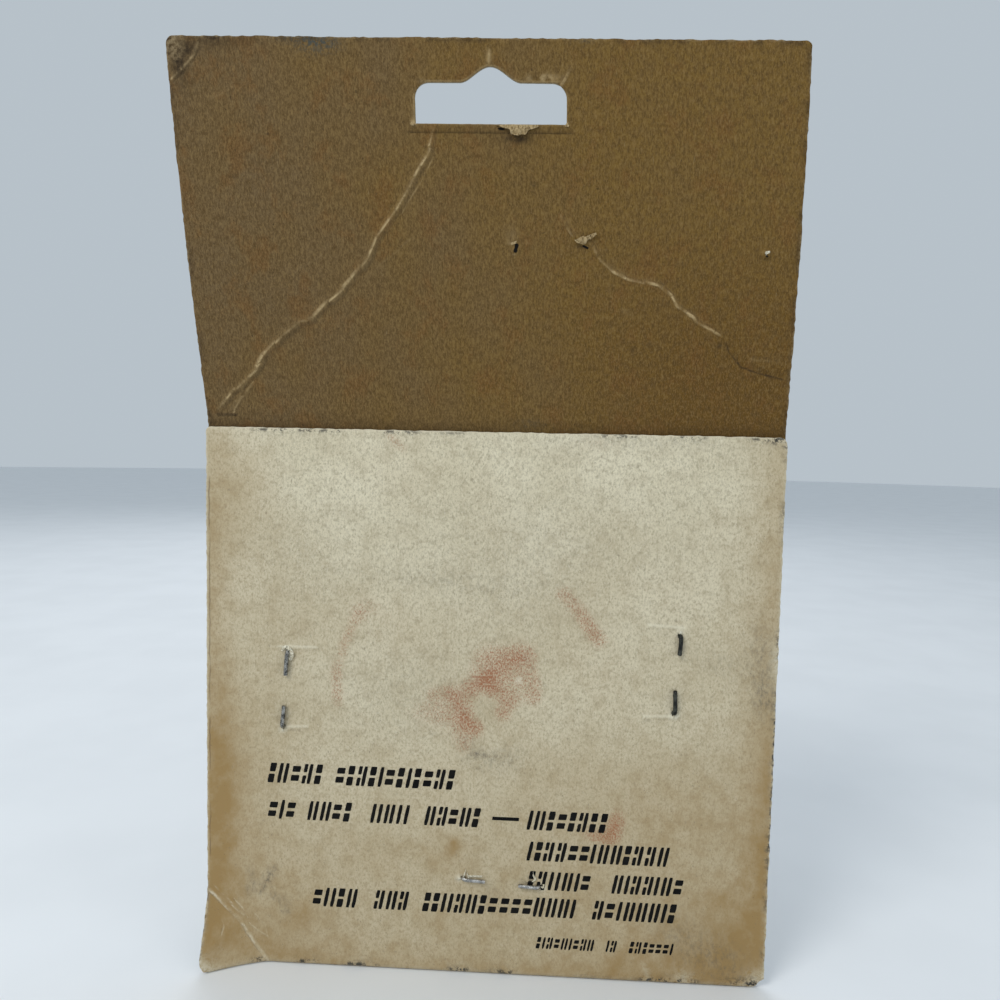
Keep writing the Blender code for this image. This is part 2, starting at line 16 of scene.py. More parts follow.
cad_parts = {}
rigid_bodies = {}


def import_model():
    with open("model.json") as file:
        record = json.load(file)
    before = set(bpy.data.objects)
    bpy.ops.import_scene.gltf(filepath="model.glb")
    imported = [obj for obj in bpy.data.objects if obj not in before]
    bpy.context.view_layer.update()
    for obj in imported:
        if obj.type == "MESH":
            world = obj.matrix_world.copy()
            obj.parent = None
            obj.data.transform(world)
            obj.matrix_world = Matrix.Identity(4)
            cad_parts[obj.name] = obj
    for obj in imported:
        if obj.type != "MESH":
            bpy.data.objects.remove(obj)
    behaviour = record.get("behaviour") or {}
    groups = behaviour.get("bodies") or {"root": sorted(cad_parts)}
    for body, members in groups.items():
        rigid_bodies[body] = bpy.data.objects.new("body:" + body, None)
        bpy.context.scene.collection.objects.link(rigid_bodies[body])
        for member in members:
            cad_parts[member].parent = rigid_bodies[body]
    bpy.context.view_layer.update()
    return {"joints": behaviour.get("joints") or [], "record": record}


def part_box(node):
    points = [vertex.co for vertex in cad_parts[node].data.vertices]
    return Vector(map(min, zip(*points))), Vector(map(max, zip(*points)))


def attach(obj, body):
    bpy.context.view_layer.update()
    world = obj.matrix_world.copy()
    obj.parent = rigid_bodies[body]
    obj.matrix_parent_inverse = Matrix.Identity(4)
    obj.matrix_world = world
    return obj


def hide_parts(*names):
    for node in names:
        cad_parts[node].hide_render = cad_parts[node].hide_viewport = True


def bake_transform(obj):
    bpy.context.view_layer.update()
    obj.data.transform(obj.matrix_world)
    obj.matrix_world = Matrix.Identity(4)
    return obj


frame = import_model()

MM = 0.001
RNG = np.random.default_rng(7)
HASH_X, HASH_Y, HASH_SEED, HASH_MIX = 374761393, 668265263, 974634777, 1274126177
HASH_BITS = 0xFFFFFFFF

# ------------------------------------------------------------ sizes from the frame

JOINTS = {joint["name"]: joint for joint in frame["joints"]}
MOUNTS = {mount["name"]: mount for mount in frame["record"]["mounts"]}
CARD_LOW, CARD_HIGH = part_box("hang_card")
CARD_W = 88.9                               # millimetres from here on
CARD_H = (CARD_HIGH.z - CARD_LOW.z) / MM
FLAP_FACE = MOUNTS["flap_back"]["pos_m"]
CARD_ORIGIN = Vector((FLAP_FACE[0], FLAP_FACE[1], CARD_LOW.z))
TAPE_CENTRE = Vector(JOINTS["reel_spin"]["pos_m"])

HALF_W = CARD_W / 2
BOARD_T = 0.55
BOARD_GAP = 0.35
FLAP_TOP = 86.5
FOLD_R = (BOARD_T + BOARD_GAP) / 2
FOLD_Q = BOARD_T / 2 + FOLD_R
PANEL_Y = BOARD_T * 1.5 + BOARD_GAP
HEADER_SLOPE = 0.239
HEADER_CURL = 0.00119
HEADER_TWIST = 0.00044
HEADER_DRIFT = -1.45
BEND_LENGTH = 0.5

SLOT_U = -0.75
SLOT_TOP = -CARD_ORIGIN.z / MM              # the slot's hump is the world origin
SLOT_HALF_W = 10.57
SLOT_BAR = -2.05
SLOT_LOW = -7.4
SLOT_CORNER = 2.0
HUMP_HALF = 4.4
SLOT_LINE = 8.42                            # a dark pressed line runs this far below the slot's top
CUT_Q = 88.15                               # a short cut at the header's lower left edge

STAPLES = {                                 # crown middle (u, v) and crown direction
    "staple_left": (-31.7, 45.2, (0.065, 1.0)),
    "staple_right": (29.2, 49.6, (0.045, 1.0)),
    "staple_bottom": (2.9, 15.3, (1.0, -0.066)),
}
CROWN = 12.1

# ------------------------------------------------------------ small numeric tools


def lattice(ix, iy, seed):
    """A repeatable random value from 0 to 1 at whole-number positions."""
    n = (ix.astype(np.int64) * HASH_X + iy.astype(np.int64) * HASH_Y + seed * HASH_SEED) & HASH_BITS
    n = ((n ^ (n >> 13)) * HASH_MIX) & HASH_BITS
    return ((n ^ (n >> 16)) & 0xFFFF) / 65535.0


def noise(x, y, size, seed):
    """Smooth value noise from -1 to 1 with features about size across."""
    gx, gy = np.asarray(x, float) / size, np.asarray(y, float) / size
    ix, iy = np.floor(gx), np.floor(gy)
    fx, fy = gx - ix, gy - iy
    fx, fy = fx * fx * (3 - 2 * fx), fy * fy * (3 - 2 * fy)
    low = lattice(ix, iy, seed) * (1 - fx) + lattice(ix + 1, iy, seed) * fx
    high = lattice(ix, iy + 1, seed) * (1 - fx) + lattice(ix + 1, iy + 1, seed) * fx
    return 2 * (low * (1 - fy) + high * fy) - 1


def fractal(x, y, size, seed, octaves=3):
    total = 0
    for octave in range(octaves):
        total = total + noise(x, y, size / 2 ** octave, seed + octave) / 2 ** octave
    return total / (2 - 2 ** (1 - octaves))


def smooth_step(low, high, x):
    t = np.clip((x - low) / (high - low), 0, 1)
    return t * t * (3 - 2 * t)


def bump(x, width):
    return np.exp(-(x / width) ** 2)


def route_distance(x, y, route):
    """Distance to a polyline, signed side (left is positive) and place along it from 0 to 1."""
    best = np.full(np.shape(x), 1e9)
    side = np.zeros_like(best)
    along = np.zeros_like(best)
    lengths = [math.dist(a, b) for a, b in zip(route, route[1:])]
    total = sum(lengths)
    done = 0.0
    for (ax, ay), (bx, by), length in zip(route, route[1:], lengths):
        tx, ty = (bx - ax) / length, (by - ay) / length
        t = np.clip(((x - ax) * tx + (y - ay) * ty) / length, 0, 1)
        px, py = x - (ax + t * length * tx), y - (ay + t * length * ty)
        d = np.hypot(px, py)
        near = d < best
        best = np.where(near, d, best)
        side = np.where(near, np.sign(tx * py - ty * px), side)
        along = np.where(near, (done + t * length) / total, along)
        done += length
    return best, side, along


def turned_left(tangent):
    """Unit vectors a quarter turn to the left of the given ones."""
    unit = tangent / np.linalg.norm(tangent, axis=1, keepdims=True)
    return np.stack([-unit[:, 1], unit[:, 0]], 1)


def round_left(loop):
    """Unit vectors to the left of the way round a closed loop."""
    return turned_left(np.roll(loop, -1, 0) - np.roll(loop, 1, 0))


def stroke(u, v, route, width):
    """A soft line along a route."""
    return bump(route_distance(u, v, route)[0], width)


def resample(route, step):
    """Points spaced evenly along a polyline."""
    points = [route[0]]
    for a, b in zip(route, route[1:]):
        count = max(1, round(math.dist(a, b) / step))
        points += [(a[0] + (b[0] - a[0]) * i / count, a[1] + (b[1] - a[1]) * i / count)
                   for i in range(1, count + 1)]
    return points


# ------------------------------------------------------------ card surface

CREASE_LEFT = [(-8.4, 128.5), (-9.3, 125.2), (-11.2, 122.2), (-12.2, 120.4), (-14.0, 117.6), (-17.0, 113.8),
               (-18.4, 110.8), (-22.0, 106.7), (-24.6, 104.7), (-27.0, 102.3), (-28.7, 102.1),
               (-31.5, 100.1), (-34.8, 97.0), (-36.2, 94.8), (-39.9, 91.6), (-43.0, 88.4)]
CREASE_RIGHT = [(11.0, 115.0), (12.4, 113.8), (14.2, 113.2), (15.3, 111.2), (17.5, 109.4), (19.6, 108.5),
                (21.6, 108.1), (24.2, 107.6), (26.0, 106.1), (26.8, 104.9), (29.1, 103.6), (29.7, 102.8),
                (31.7, 101.8), (34.2, 100.4)]
CREASES = [                                 # route, crest height, width of the falling side, paleness
    (CREASE_LEFT, 0.22, 0.80, 1.0),
    ([(-8.0, 125.8), (-9.4, 123.2), (-10.5, 121.2), (-12.2, 118.8), (-13.4, 116.8)], 0.06, 0.5, 0.22),
    ([(-11.0, 114.2), (-13.4, 112.4), (-16.2, 110.4), (-19.0, 107.8)], 0.05, 0.6, 0.10),
    ([(-36.6, 93.4), (-38.6, 90.8), (-40.4, 88.2)], 0.09, 0.5, 0.50),
    ([(-35.4, 95.8), (-38.4, 92.0), (-41.2, 88.4)], 0.07, 0.5, 0.12),
    (CREASE_RIGHT, 0.13, 0.40, 0.85),
    ([(9.6, 117.0), (10.6, 115.2), (11.6, 114.0)], 0.10, 0.5, 0.40),
    ([(34.2, 100.4), (34.9, 98.4), (37.0, 96.4), (40.5, 95.4), (43.6, 94.6)], -0.22, 0.9, 0.0),
    ([(37.8, 97.7), (40.7, 97.2), (43.0, 96.8)], 0.10, 0.5, 0.45),
    ([(-23.8, 113.2), (-25.3, 111.2), (-28.4, 109.4), (-29.6, 108.2)], 0.03, 0.4, 0.14),
    ([(8.9, 133.7), (10.5, 136.4)], 0.08, 0.3, 0.55),
    ([(-0.9, 138.4), (-1.05, 136.4)], 0.05, 0.3, 0.32),
    ([(-41.2, 139.0), (-42.0, 137.2), (-43.4, 135.8), (-45.6, 134.0)], 0.12, 0.45, 0.66),
    ([(-36.2, 133.4), (-38.4, 132.2), (-40.2, 131.4)], 0.03, 0.5, 0.12),
]
CORNER_CREASE = [(-44.5, 12.2), (-41.9, 9.8), (-40.4, 8.3), (-39.0, 7.0), (-37.9, 5.2), (-36.6, 3.3),
                 (-35.0, 1.2), (-33.2, -1.6)]
CORNER_CRACK = [(-43.2, 12.8), (-41.6, 11.0), (-40.0, 9.3), (-38.4, 7.9)]
CORNER_WRINKLES = [[(-40.0, 10.6), (-38.6, 9.2), (-37.6, 7.4)], [(-37.4, 6.6), (-36.2, 5.4), (-34.6, 4.6)],
                   [(-42.6, 8.6), (-41.4, 6.6), (-41.6, 5.0)], [(-36.6, 8.2), (-35.0, 6.4), (-34.4, 4.4)]]
CORNER_LIFT = 3.5
CORNER_REACH = 7.2                          # the bend stands CORNER_LIFT high at this distance
PRESSED_LINES = [(-32.6, 51.8, -27.0, 51.9), (-31.4, 39.0, -28.2, 39.2), (24.7, 57.1, 30.2, 56.8),
                 (24.4, 42.8, 29.6, 43.0)]   # faint raised lines beside the side staples


def header_offset(u, q):
    """Lean of the header towards the flap side: a soft bend, a slight curl and a twist."""
    rise = np.maximum(q - FLAP_TOP, 0)
    eased = rise * rise / (rise + BEND_LENGTH)
    return HEADER_SLOPE * eased - HEADER_CURL * rise * rise - HEADER_TWIST * u * rise


def header_drift(q):
    return HEADER_DRIFT * np.clip((q - FLAP_TOP) / (CARD_H - FLAP_TOP), 0, 1)


def staple_axes(name):
    """Crown middle and unit direction in card coordinates."""
    u, v, (du, dv) = STAPLES[name]
    length = math.hypot(du, dv)
    return (u, v), (du / length, dv / length)


def staple_feet():
    """The six places where a leg comes through, with the direction its tip points in."""
    feet = []
    for name in STAPLES:
        (u, v), (du, dv) = staple_axes(name)
        for side in (-1, 1):
            foot = (u + side * du * CROWN / 2, v + side * dv * CROWN / 2)
            feet.append((name, foot, (-side * du, -side * dv)))
    return feet


def corner_bend(u, v):
    """The bottom left corner's bend towards the viewer, shared by both layers of board."""
    dist, side, _ = route_distance(u, v, CORNER_CREASE)
    beyond = np.where(side < 0, dist, 0)
    return CORNER_LIFT * (beyond / CORNER_REACH) ** 1.35


def flap_lift(u, v):
    """How far the flap's face stands towards the viewer, in millimetres."""
    dist, side, _ = route_distance(u, v, CORNER_CREASE)
    lift = 0.10 * bump(dist, 0.22) - 0.05 * bump(dist - 0.5, 0.3)
    lift = lift + 0.05 * stroke(u, v, CORNER_CRACK, 0.2)
    lift = lift + 0.05 * fractal(u, v, 16, 11) + 0.012 * fractal(u, v, 2.6, 12)
    crumple = smooth_step(-0.8, 1.2, -dist * side) * smooth_step(9.0, 5.0, dist)
    lift = lift + crumple * (0.10 * fractal(u, v, 2.4, 14) + 0.05 * fractal(u, v, 0.9, 15))
    for _, (fu, fv), _ in staple_feet():
        r = np.hypot(u - fu, v - fv)
        lift = lift + 0.12 * bump(r - 0.55, 0.35) - 0.08 * bump(r, 3.0)
    for u0, v0, u1, v1 in PRESSED_LINES:
        ridge = 0.08 * stroke(u, v, [(u0, v0), (u1, v1)], 0.32)
        lift = lift + ridge * (0.7 + 0.3 * noise(u, v, 1.2, 13))
    return lift * smooth_step(0.2, 3.0, v + 2.0)


def crease_profile(signed, width):
    """A crest at 0 that falls steadily on its positive side and eases off on the other."""
    rising = np.exp(-(signed / (0.55 * width)) ** 2)
    falling = np.clip(1 - 1.25 * signed / width, -0.25, 1)
    falling = np.where(signed > width, -0.25 * np.exp(-((signed - width) / (0.8 * width)) ** 2), falling)
    return np.where(signed < 0, rising, falling)


def crease_place(number, x, q):
    """Wandering distance from one crease, signed, and how far along it a point lies."""
    route = CREASES[number][0]
    wander = 0.13 * fractal(x, q, 1.6, 40 + number)
    jog = 0.26 * smooth_step(-0.04, 0.04, noise(x + q, q - x, 4.6, 150 + number)) - 0.13
    dist, side, along = route_distance(x + wander + 0.6 * jog, q + 0.7 * wander - 0.6 * jog, route)
    return dist * side, along


def header_lift(x, q):
    """How far the header stands towards the viewer; x already includes its sideways drift."""
    lift = 0.06 * fractal(x, q, 18, 21) + 0.010 * fractal(x, q, 2.2, 22)
    for number, (_, height, width, _) in enumerate(CREASES):
        signed, along = crease_place(number, x, q)
        ends = smooth_step(0, 0.10, along) * smooth_step(1.0, 0.90, along) * 0.8 + 0.2
        near = smooth_step(4 * width, 2 * width, np.abs(signed))
        ragged = ends * near * (0.85 + 0.45 * fractal(x, q, 2.4, 60 + number))
        lift = lift + height * ragged * crease_profile(signed, width)
    below = SLOT_TOP + SLOT_LOW - q
    lip = smooth_step(1.15, 0.85, below) * smooth_step(11.6, 10.9, np.abs(x - SLOT_U))
    lift = lift + 0.13 * lip * smooth_step(-0.3, 0.0, below)
    lift = lift + 0.12 * bump(np.abs(q - CUT_Q), 0.18) * smooth_step(-39.3, -40.2, x)
    for hole_x, hole_q, height, width in ((3.25, 112.5, 0.10, 0.55), (38.85, 112.0, 0.22, 0.45)):
        r = np.hypot(x - hole_x, q - hole_q)
        lift = lift + height * bump(r - width * 0.8, width * 0.6)
    return lift - 0.10 * bump(np.hypot((x - 12.8) / 1.5, (q - 113.0) / 0.6), 0.9)


def sheet_mid(u, q):
    """The sheet's middle surface in card space: x across, y depth, z up."""
    angle = math.pi * (q + FOLD_Q) / (2 * FOLD_Q)
    in_fold = np.abs(q) < FOLD_Q
    y_fold = BOARD_T / 2 + FOLD_R - FOLD_R * np.cos(angle)
    z_fold = FOLD_Q - FOLD_R * np.sin(angle)
    y = np.where(q < 0, BOARD_T / 2, PANEL_Y - header_offset(u, q))
    y = np.where(in_fold, y_fold, y)
    z = np.where(in_fold, z_fold, np.abs(q))
    x = u + header_drift(q)
    flap = smooth_step(0.2, -0.9, q)
    y = y - flap * flap_lift(u, -q) - corner_bend(u, np.abs(q))
    rise = smooth_step(FLAP_TOP + 0.2, FLAP_TOP + 2.0, q)
    y = y - rise * header_lift(x, q)
    return np.stack([x, y, z], axis=-1)


def sheet_frame(u, q):
    """Middle surface and the unit normal of its coated side."""
    e = 0.02
    mid = sheet_mid(u, q)
    across = sheet_mid(u + e, q) - sheet_mid(u - e, q)
    down = sheet_mid(u, q + e) - sheet_mid(u, q - e)
    normal = np.cross(down, across)
    return mid, normal / np.linalg.norm(normal, axis=-1, keepdims=True)


def to_world(card_points):
    return np.asarray(card_points) * MM + np.array(CARD_ORIGIN)


# ------------------------------------------------------------ card outline and holes

def arc(cx, cy, radius, start, end, steps):
    angles = np.radians(np.linspace(start, end, steps + 1))
    return [(cx + radius * math.cos(a), cy + radius * math.sin(a)) for a in angles]


def ragged_outline(points, step, amount, seed):
    """Resample a closed outline and move its points in and out a little."""
    pts = np.array(resample(points + points[:1], step)[:-1])
    wave = fractal(pts[:, 0], pts[:, 1], 3.0, seed) * 0.6 + noise(pts[:, 0], pts[:, 1], 0.6, seed + 9) * 0.7
    return pts + round_left(pts) * (amount * (0.6 + wave))[:, None]


def sheet_outline():
    """The card's flat pattern, counter-clockwise, corners rounded by wear."""
    w, flap, top = HALF_W, -(FLAP_TOP - 0.3), CARD_H
    pts = arc(w - 1.1, flap + 1.1, 1.1, -90, 0, 5)
    pts += [(w, -1.6), (w - 0.9, -0.9), (w - 1.6, 0.0), (w - 0.8, 0.9), (w, 1.8)]
    pts += arc(w - 0.9, top - 0.9, 0.9, 0, 90, 5)
    pts += arc(-w + 1.3, top - 1.3, 1.3, 90, 180, 6)
    pts += [(-w, 2.0), (-w + 0.3, 1.1), (-w + 0.9, 0.0), (-w + 0.3, -1.1), (-w, -2.0)]
    pts += arc(-w + 0.9, flap + 0.9, 0.9, 180, 270, 5)
    return ragged_outline(pts, 0.3, 0.10, 5)


def slot_bell(x):
    """The hump's height as a share of its full height, at a distance x from its middle."""
    return 0.5 + 0.5 * np.cos(math.pi * np.clip(np.abs(x) / HUMP_HALF, 0, 1))


def slot_outline():
    right = [(SLOT_HALF_W, SLOT_LOW)]
    right += arc(SLOT_HALF_W - SLOT_CORNER, SLOT_BAR - SLOT_CORNER, SLOT_CORNER, 0, 90, 8)
    hump = []
    for step in range(1, 32):
        x = HUMP_HALF * (1 - step / 16)
        hump.append((x, SLOT_BAR * (1 - float(slot_bell(x)))))
    left = [(-x, z) for x, z in reversed(right)]
    pts = [(SLOT_U - header_drift(SLOT_TOP) + x, SLOT_TOP + z) for x, z in right + hump + left]
    return ragged_outline(pts, 0.3, 0.015, 6)


def small_hole(u, v, across, along, direction, seed):
    """A ragged little hole, longer along one direction."""
    du, dv = direction
    count = 12
    rough = np.random.default_rng(seed)
    pts = []
    for i in range(count):
        angle = 2 * math.pi * i / count
        a = along * math.cos(angle) * rough.uniform(0.82, 1.12)
        b = across * math.sin(angle) * rough.uniform(0.82, 1.12)
        pts.append((u + a * du - b * dv, v + a * dv + b * du))
    return np.array(pts)


def sheet_holes():
    holes = [slot_outline()]
    for number, (_, (u, v), tip) in enumerate(staple_feet()):
        holes.append(small_hole(u, -v, 0.38, 0.50, (tip[0], -tip[1]), 100 + number))
        holes.append(small_hole(u, v, 0.40, 0.46, tip, 120 + number))
    return holes


def inside(points, outline):
    """Which points lie inside a closed outline."""
    x, y = points[:, 0], points[:, 1]
    result = np.zeros(len(points), bool)
    for (x0, y0), (x1, y1) in zip(outline, np.roll(outline, -1, 0)):
        if y0 == y1:
            continue
        crosses = (y0 > y) != (y1 > y)
        result ^= crosses & (x < x0 + (y - y0) * (x1 - x0) / (y1 - y0))
    return result


def between(points, rings):
    """Which points lie inside the first ring and outside the others."""
    keep = inside(points, rings[0])
    for hole in rings[1:]:
        keep &= ~inside(points, hole)
    return keep


def grid_points(u0, u1, q0, q1, step, seed):
    """A slightly jittered grid of points."""
    us = np.arange(u0, u1, step)
    qs = np.arange(q0, q1, step)
    uu, qq = np.meshgrid(us, qs)
    rough = np.random.default_rng(seed)
    uu = uu + rough.uniform(-0.12, 0.12, uu.shape) * step
    qq = qq + rough.uniform(-0.12, 0.12, qq.shape) * step
    return np.stack([uu.ravel(), qq.ravel()], 1)


def beside(route, offsets):
    """Rows of points that follow a route at some distances to its left."""
    pts = np.asarray(route, float)
    left = turned_left(np.gradient(pts, axis=0))
    return [pts + offset * left for offset in offsets]


CREASE_OFFSETS = (0, 0.1, -0.1, 0.22, -0.22, 0.36, -0.4, 0.55, 0.75, -0.65, 0.95, 1.1, 1.3, -1.0, 1.6)
WRINKLE_OFFSETS = (0, 0.1, -0.1, 0.22, -0.22, 0.4, -0.4, 0.65, -0.65)
DENTS = ((3.25, 112.5), (13.1, 112.8), (38.95, 111.9), (0.9, 128.1), (3.2, 126.9))   # marks on the header
DENT_RADII = (0.0, 0.1, 0.2, 0.3, 0.4, 0.52, 0.66, 0.85, 1.1)


def sheet_points():
    """Where the sheet's vertices go: coarse in the plain parts, fine at creases and edges."""
    w = HALF_W
    parts = [
        grid_points(-w + 0.6, w - 0.5, FLAP_TOP + 0.8, CARD_H - 0.6, 0.6, 1),
        grid_points(-w + 0.6, w - 0.5, -FLAP_TOP + 1.0, -1.6, 0.8, 2),
        grid_points(-w + 0.6, w - 0.5, 1.8, FLAP_TOP, 1.3, 3),
        grid_points(-w + 0.4, -w + 12, -14, -1.2, 0.4, 4),
    ]
    fold_u, fold_q = np.meshgrid(np.arange(-w + 0.8, w - 1.8, 0.7), np.linspace(-1.2, 1.2, 17))
    parts.append(np.stack([fold_u.ravel(), fold_q.ravel()], 1))
    for route, *_ in CREASES:
        pts = np.array(resample(route, 0.24))
        pts[:, 0] -= header_drift(pts[:, 1])
        parts += beside(pts, CREASE_OFFSETS)
    for route in [CORNER_CREASE, CORNER_CRACK] + CORNER_WRINKLES:
        parts += beside(np.array(resample(route, 0.25)) * (1, -1), WRINKLE_OFFSETS)
    for u0, v0, u1, v1 in PRESSED_LINES:
        for offset in (-0.4, -0.2, 0, 0.12, 0.25, 0.45):
            parts.append(np.array(resample([(u0, -v0 - offset), (u1, -v1 - offset)], 0.3)))
    for x, q in DENTS:
        for radius in DENT_RADII:
            around = np.linspace(0, 2 * math.pi, max(2, int(radius * 44)), endpoint=False)
            ring = [x - header_drift(q) + radius * np.cos(around), q + radius * np.sin(around)]
            parts.append(np.stack(ring, 1))
    for _, (u, v), _ in staple_feet():
        for radius in (0.65, 0.85, 1.1, 1.5):
            parts.append(np.array(arc(u, -v, radius, 0, 345, 23)))
    for depth in (-0.24, -0.12, 0.0, 0.12, 0.24):
        line_q = SLOT_TOP - SLOT_LINE - depth
        parts.append(np.array([(u, line_q) for u in np.arange(-12.5, 12.5, 0.3)]))
    return np.concatenate(parts)


def thin_out(points, fixed, gap):
    """Drop points that crowd each other or the fixed outline points."""
    taken = {}

    def cell(p):
        return (int(math.floor(p[0] / gap)), int(math.floor(p[1] / gap)))

    def crowded(p):
        kx, ky = cell(p)
        around = [(kx + i, ky + j) for i in (-1, 0, 1) for j in (-1, 0, 1)]
        return any((p[0] - other[0]) ** 2 + (p[1] - other[1]) ** 2 < gap * gap
                   for place in around for other in taken.get(place, ()))

    for p in fixed:
        taken.setdefault(cell(p), []).append(p)
    kept = []
    for p in points:
        if not crowded(p):
            kept.append(p)
            taken.setdefault(cell(p), []).append(p)
    return np.array(kept)


def flat_mesh(rings, fill, tolerance):
    """Points and triangles of a flat outline with holes; the first ring is the outline."""
    edges, start = [], 0
    for ring in rings:
        edges += [(start + i, start + (i + 1) % len(ring)) for i in range(len(ring))]
        start += len(ring)
    everything = [Vector(p) for p in np.concatenate([*rings, fill])]
    verts, _, faces, *_ = delaunay_2d_cdt(everything, edges, [], 0, tolerance)
    pts = np.array([tuple(v) for v in verts])
    tris = np.array([tuple(f) for f in faces])
    return pts, tris[between(pts[tris].mean(1), rings)]


def double_area(pts, tris):
    """Twice the area of each flat triangle, positive where it runs counter-clockwise."""
    first, second, third = (pts[tris[:, i]] for i in range(3))
    return np.cross(second - first, third - first)


def wound(pts, tris, way):
    """The triangles all wound one way: 1 is counter-clockwise, -1 clockwise."""
    return np.where(way * double_area(pts, tris)[:, None] < 0, tris[:, [0, 2, 1]], tris)


def plate(rings, spacing, seed, crowd=0.6, tolerance=1e-7):
    """Flat mesh of a ring with holes, filled with points about one spacing apart."""
    rings = [np.asarray(ring, float) for ring in rings]
    fixed = np.concatenate(rings)
    low, high = fixed.min(0), fixed.max(0)
    fill = grid_points(low[0], high[0], low[1], high[1], spacing, seed)
    fill = fill[between(fill, rings)]
    if len(fill):
        fill = np.reshape(thin_out(fill, fixed, spacing * crowd), (-1, 2))
    pts, tris = flat_mesh(rings, fill, tolerance)
    return pts, wound(pts, tris, 1)


def sheet_triangles():
    """Flat pattern of the card: points and triangles."""
    rings = [sheet_outline()] + sheet_holes()
    insets = [loop + sign * inset * round_left(loop)
              for inset in (0.14, 0.36) for loop, sign in ((rings[0], 1), (rings[1], -1))]
    fill = thin_out(np.concatenate(insets + [sheet_points()[::-1]]), np.concatenate(rings), 0.1)
    return flat_mesh(rings, fill[between(fill, rings)], 1e-6)


# ------------------------------------------------------------ node materials

class Graph:
    """A material's node tree, with short calls for the nodes used here."""

    def __init__(self, name):
        self.material = bpy.data.materials.new(name)
        self.material.use_nodes = True
        self.tree = self.material.node_tree
        self.shader = self.tree.nodes["Principled BSDF"]
        self.output = self.tree.nodes["Material Output"]

    def put(self, socket, value):
        if isinstance(value, bpy.types.NodeSocket):
            self.tree.links.new(value, socket)
        elif isinstance(value, (tuple, list)) and len(value) == 3 and socket.type == "RGBA":
            socket.default_value = (*value, 1.0)
        else:
            socket.default_value = value

    def node(self, kind, *inputs, **settings):
        made = self.tree.nodes.new(kind)
        for key, value in settings.items():
            setattr(made, key, value)
        for socket, value in zip(made.inputs, inputs):
            if value is not None:
                self.put(socket, value)
        return made

    def math(self, operation, a, b=0.0, clamp=False):
        return self.node("ShaderNodeMath", a, b, operation=operation, use_clamp=clamp).outputs[0]

    def mul(self, a, b):
        return self.math("MULTIPLY", a, b)

    def add(self, a, b):
        return self.math("ADD", a, b)

    def cut(self, a, b):
        """The product of two values, held between 0 and 1."""
        return self.math("MULTIPLY", a, b, clamp=True)

    def scale(self, vector, factors):
        return self.node("ShaderNodeVectorMath", vector, factors, operation="MULTIPLY").outputs[0]

    def noise(self, vector, scale, detail=2.0, rough=0.5, distort=0.0, stretch=None):
        """Noise from 0 to 1; stretch is a factor on the second coordinate, or on all three."""
        if stretch is not None:
            vector = self.scale(vector, stretch if isinstance(stretch, tuple) else (1.0, stretch, 1.0))
        made = self.node("ShaderNodeTexNoise", vector)
        values = {"Scale": scale, "Detail": detail, "Roughness": rough, "Distortion": distort}
        for name, value in values.items():
            made.inputs[name].default_value = value
        return made.outputs["Fac"]

    def band(self, value, low, high):
        """0 below low, 1 above high, smooth between; low above high turns it round."""
        made = self.node("ShaderNodeMapRange", value, low, high, 0.0, 1.0, interpolation_type="SMOOTHSTEP")
        return made.outputs[0]

    def mix(self, factor, a, b, blend="MIX"):
        made = self.tree.nodes.new("ShaderNodeMix")
        made.data_type = "RGBA"
        made.blend_type = blend
        self.put(made.inputs["Factor"], factor)
        self.put(made.inputs[6], a)
        self.put(made.inputs[7], b)
        return made.outputs[2]

    def coats(self, colour, *rows):
        """Paints laid over a colour as a value goes from low to high: value, low, high, strength, paint."""
        for value, low, high, strength, paint in rows:
            cover = self.band(value, low, high)
            colour = self.mix(cover if strength is None else self.mul(cover, strength), colour, paint)
        return colour

    def marked(self, colour, *rows):
        """Paints inside a mask, as a value goes from low to high: mask, value, low, high, paint."""
        for mask, value, low, high, paint in rows:
            colour = self.mix(self.cut(mask, self.band(value, low, high)), colour, paint)
        return colour

    def object_place(self):
        """The place on the object in millimetres."""
        return self.scale(self.node("ShaderNodeTexCoord").outputs["Object"], (1000.0, 1000.0, 1000.0))

    def split(self, vector):
        made = self.node("ShaderNodeSeparateXYZ", vector)
        return made.outputs[0], made.outputs[1], made.outputs[2]

    def attribute(self, name):
        return self.node("ShaderNodeAttribute", attribute_name=name).outputs["Vector"]

    def bump(self, height, distance, normal=None):
        made = self.tree.nodes.new("ShaderNodeBump")
        made.inputs["Strength"].default_value = 1.0
        made.inputs["Distance"].default_value = distance
        self.put(made.inputs["Height"], height)
        if normal is not None:
            self.put(made.inputs["Normal"], normal)
        return made.outputs[0]

    def finish(self, **inputs):
        for name, value in inputs.items():
            self.put(self.shader.inputs[name.replace("_", " ")], value)
        return self.material


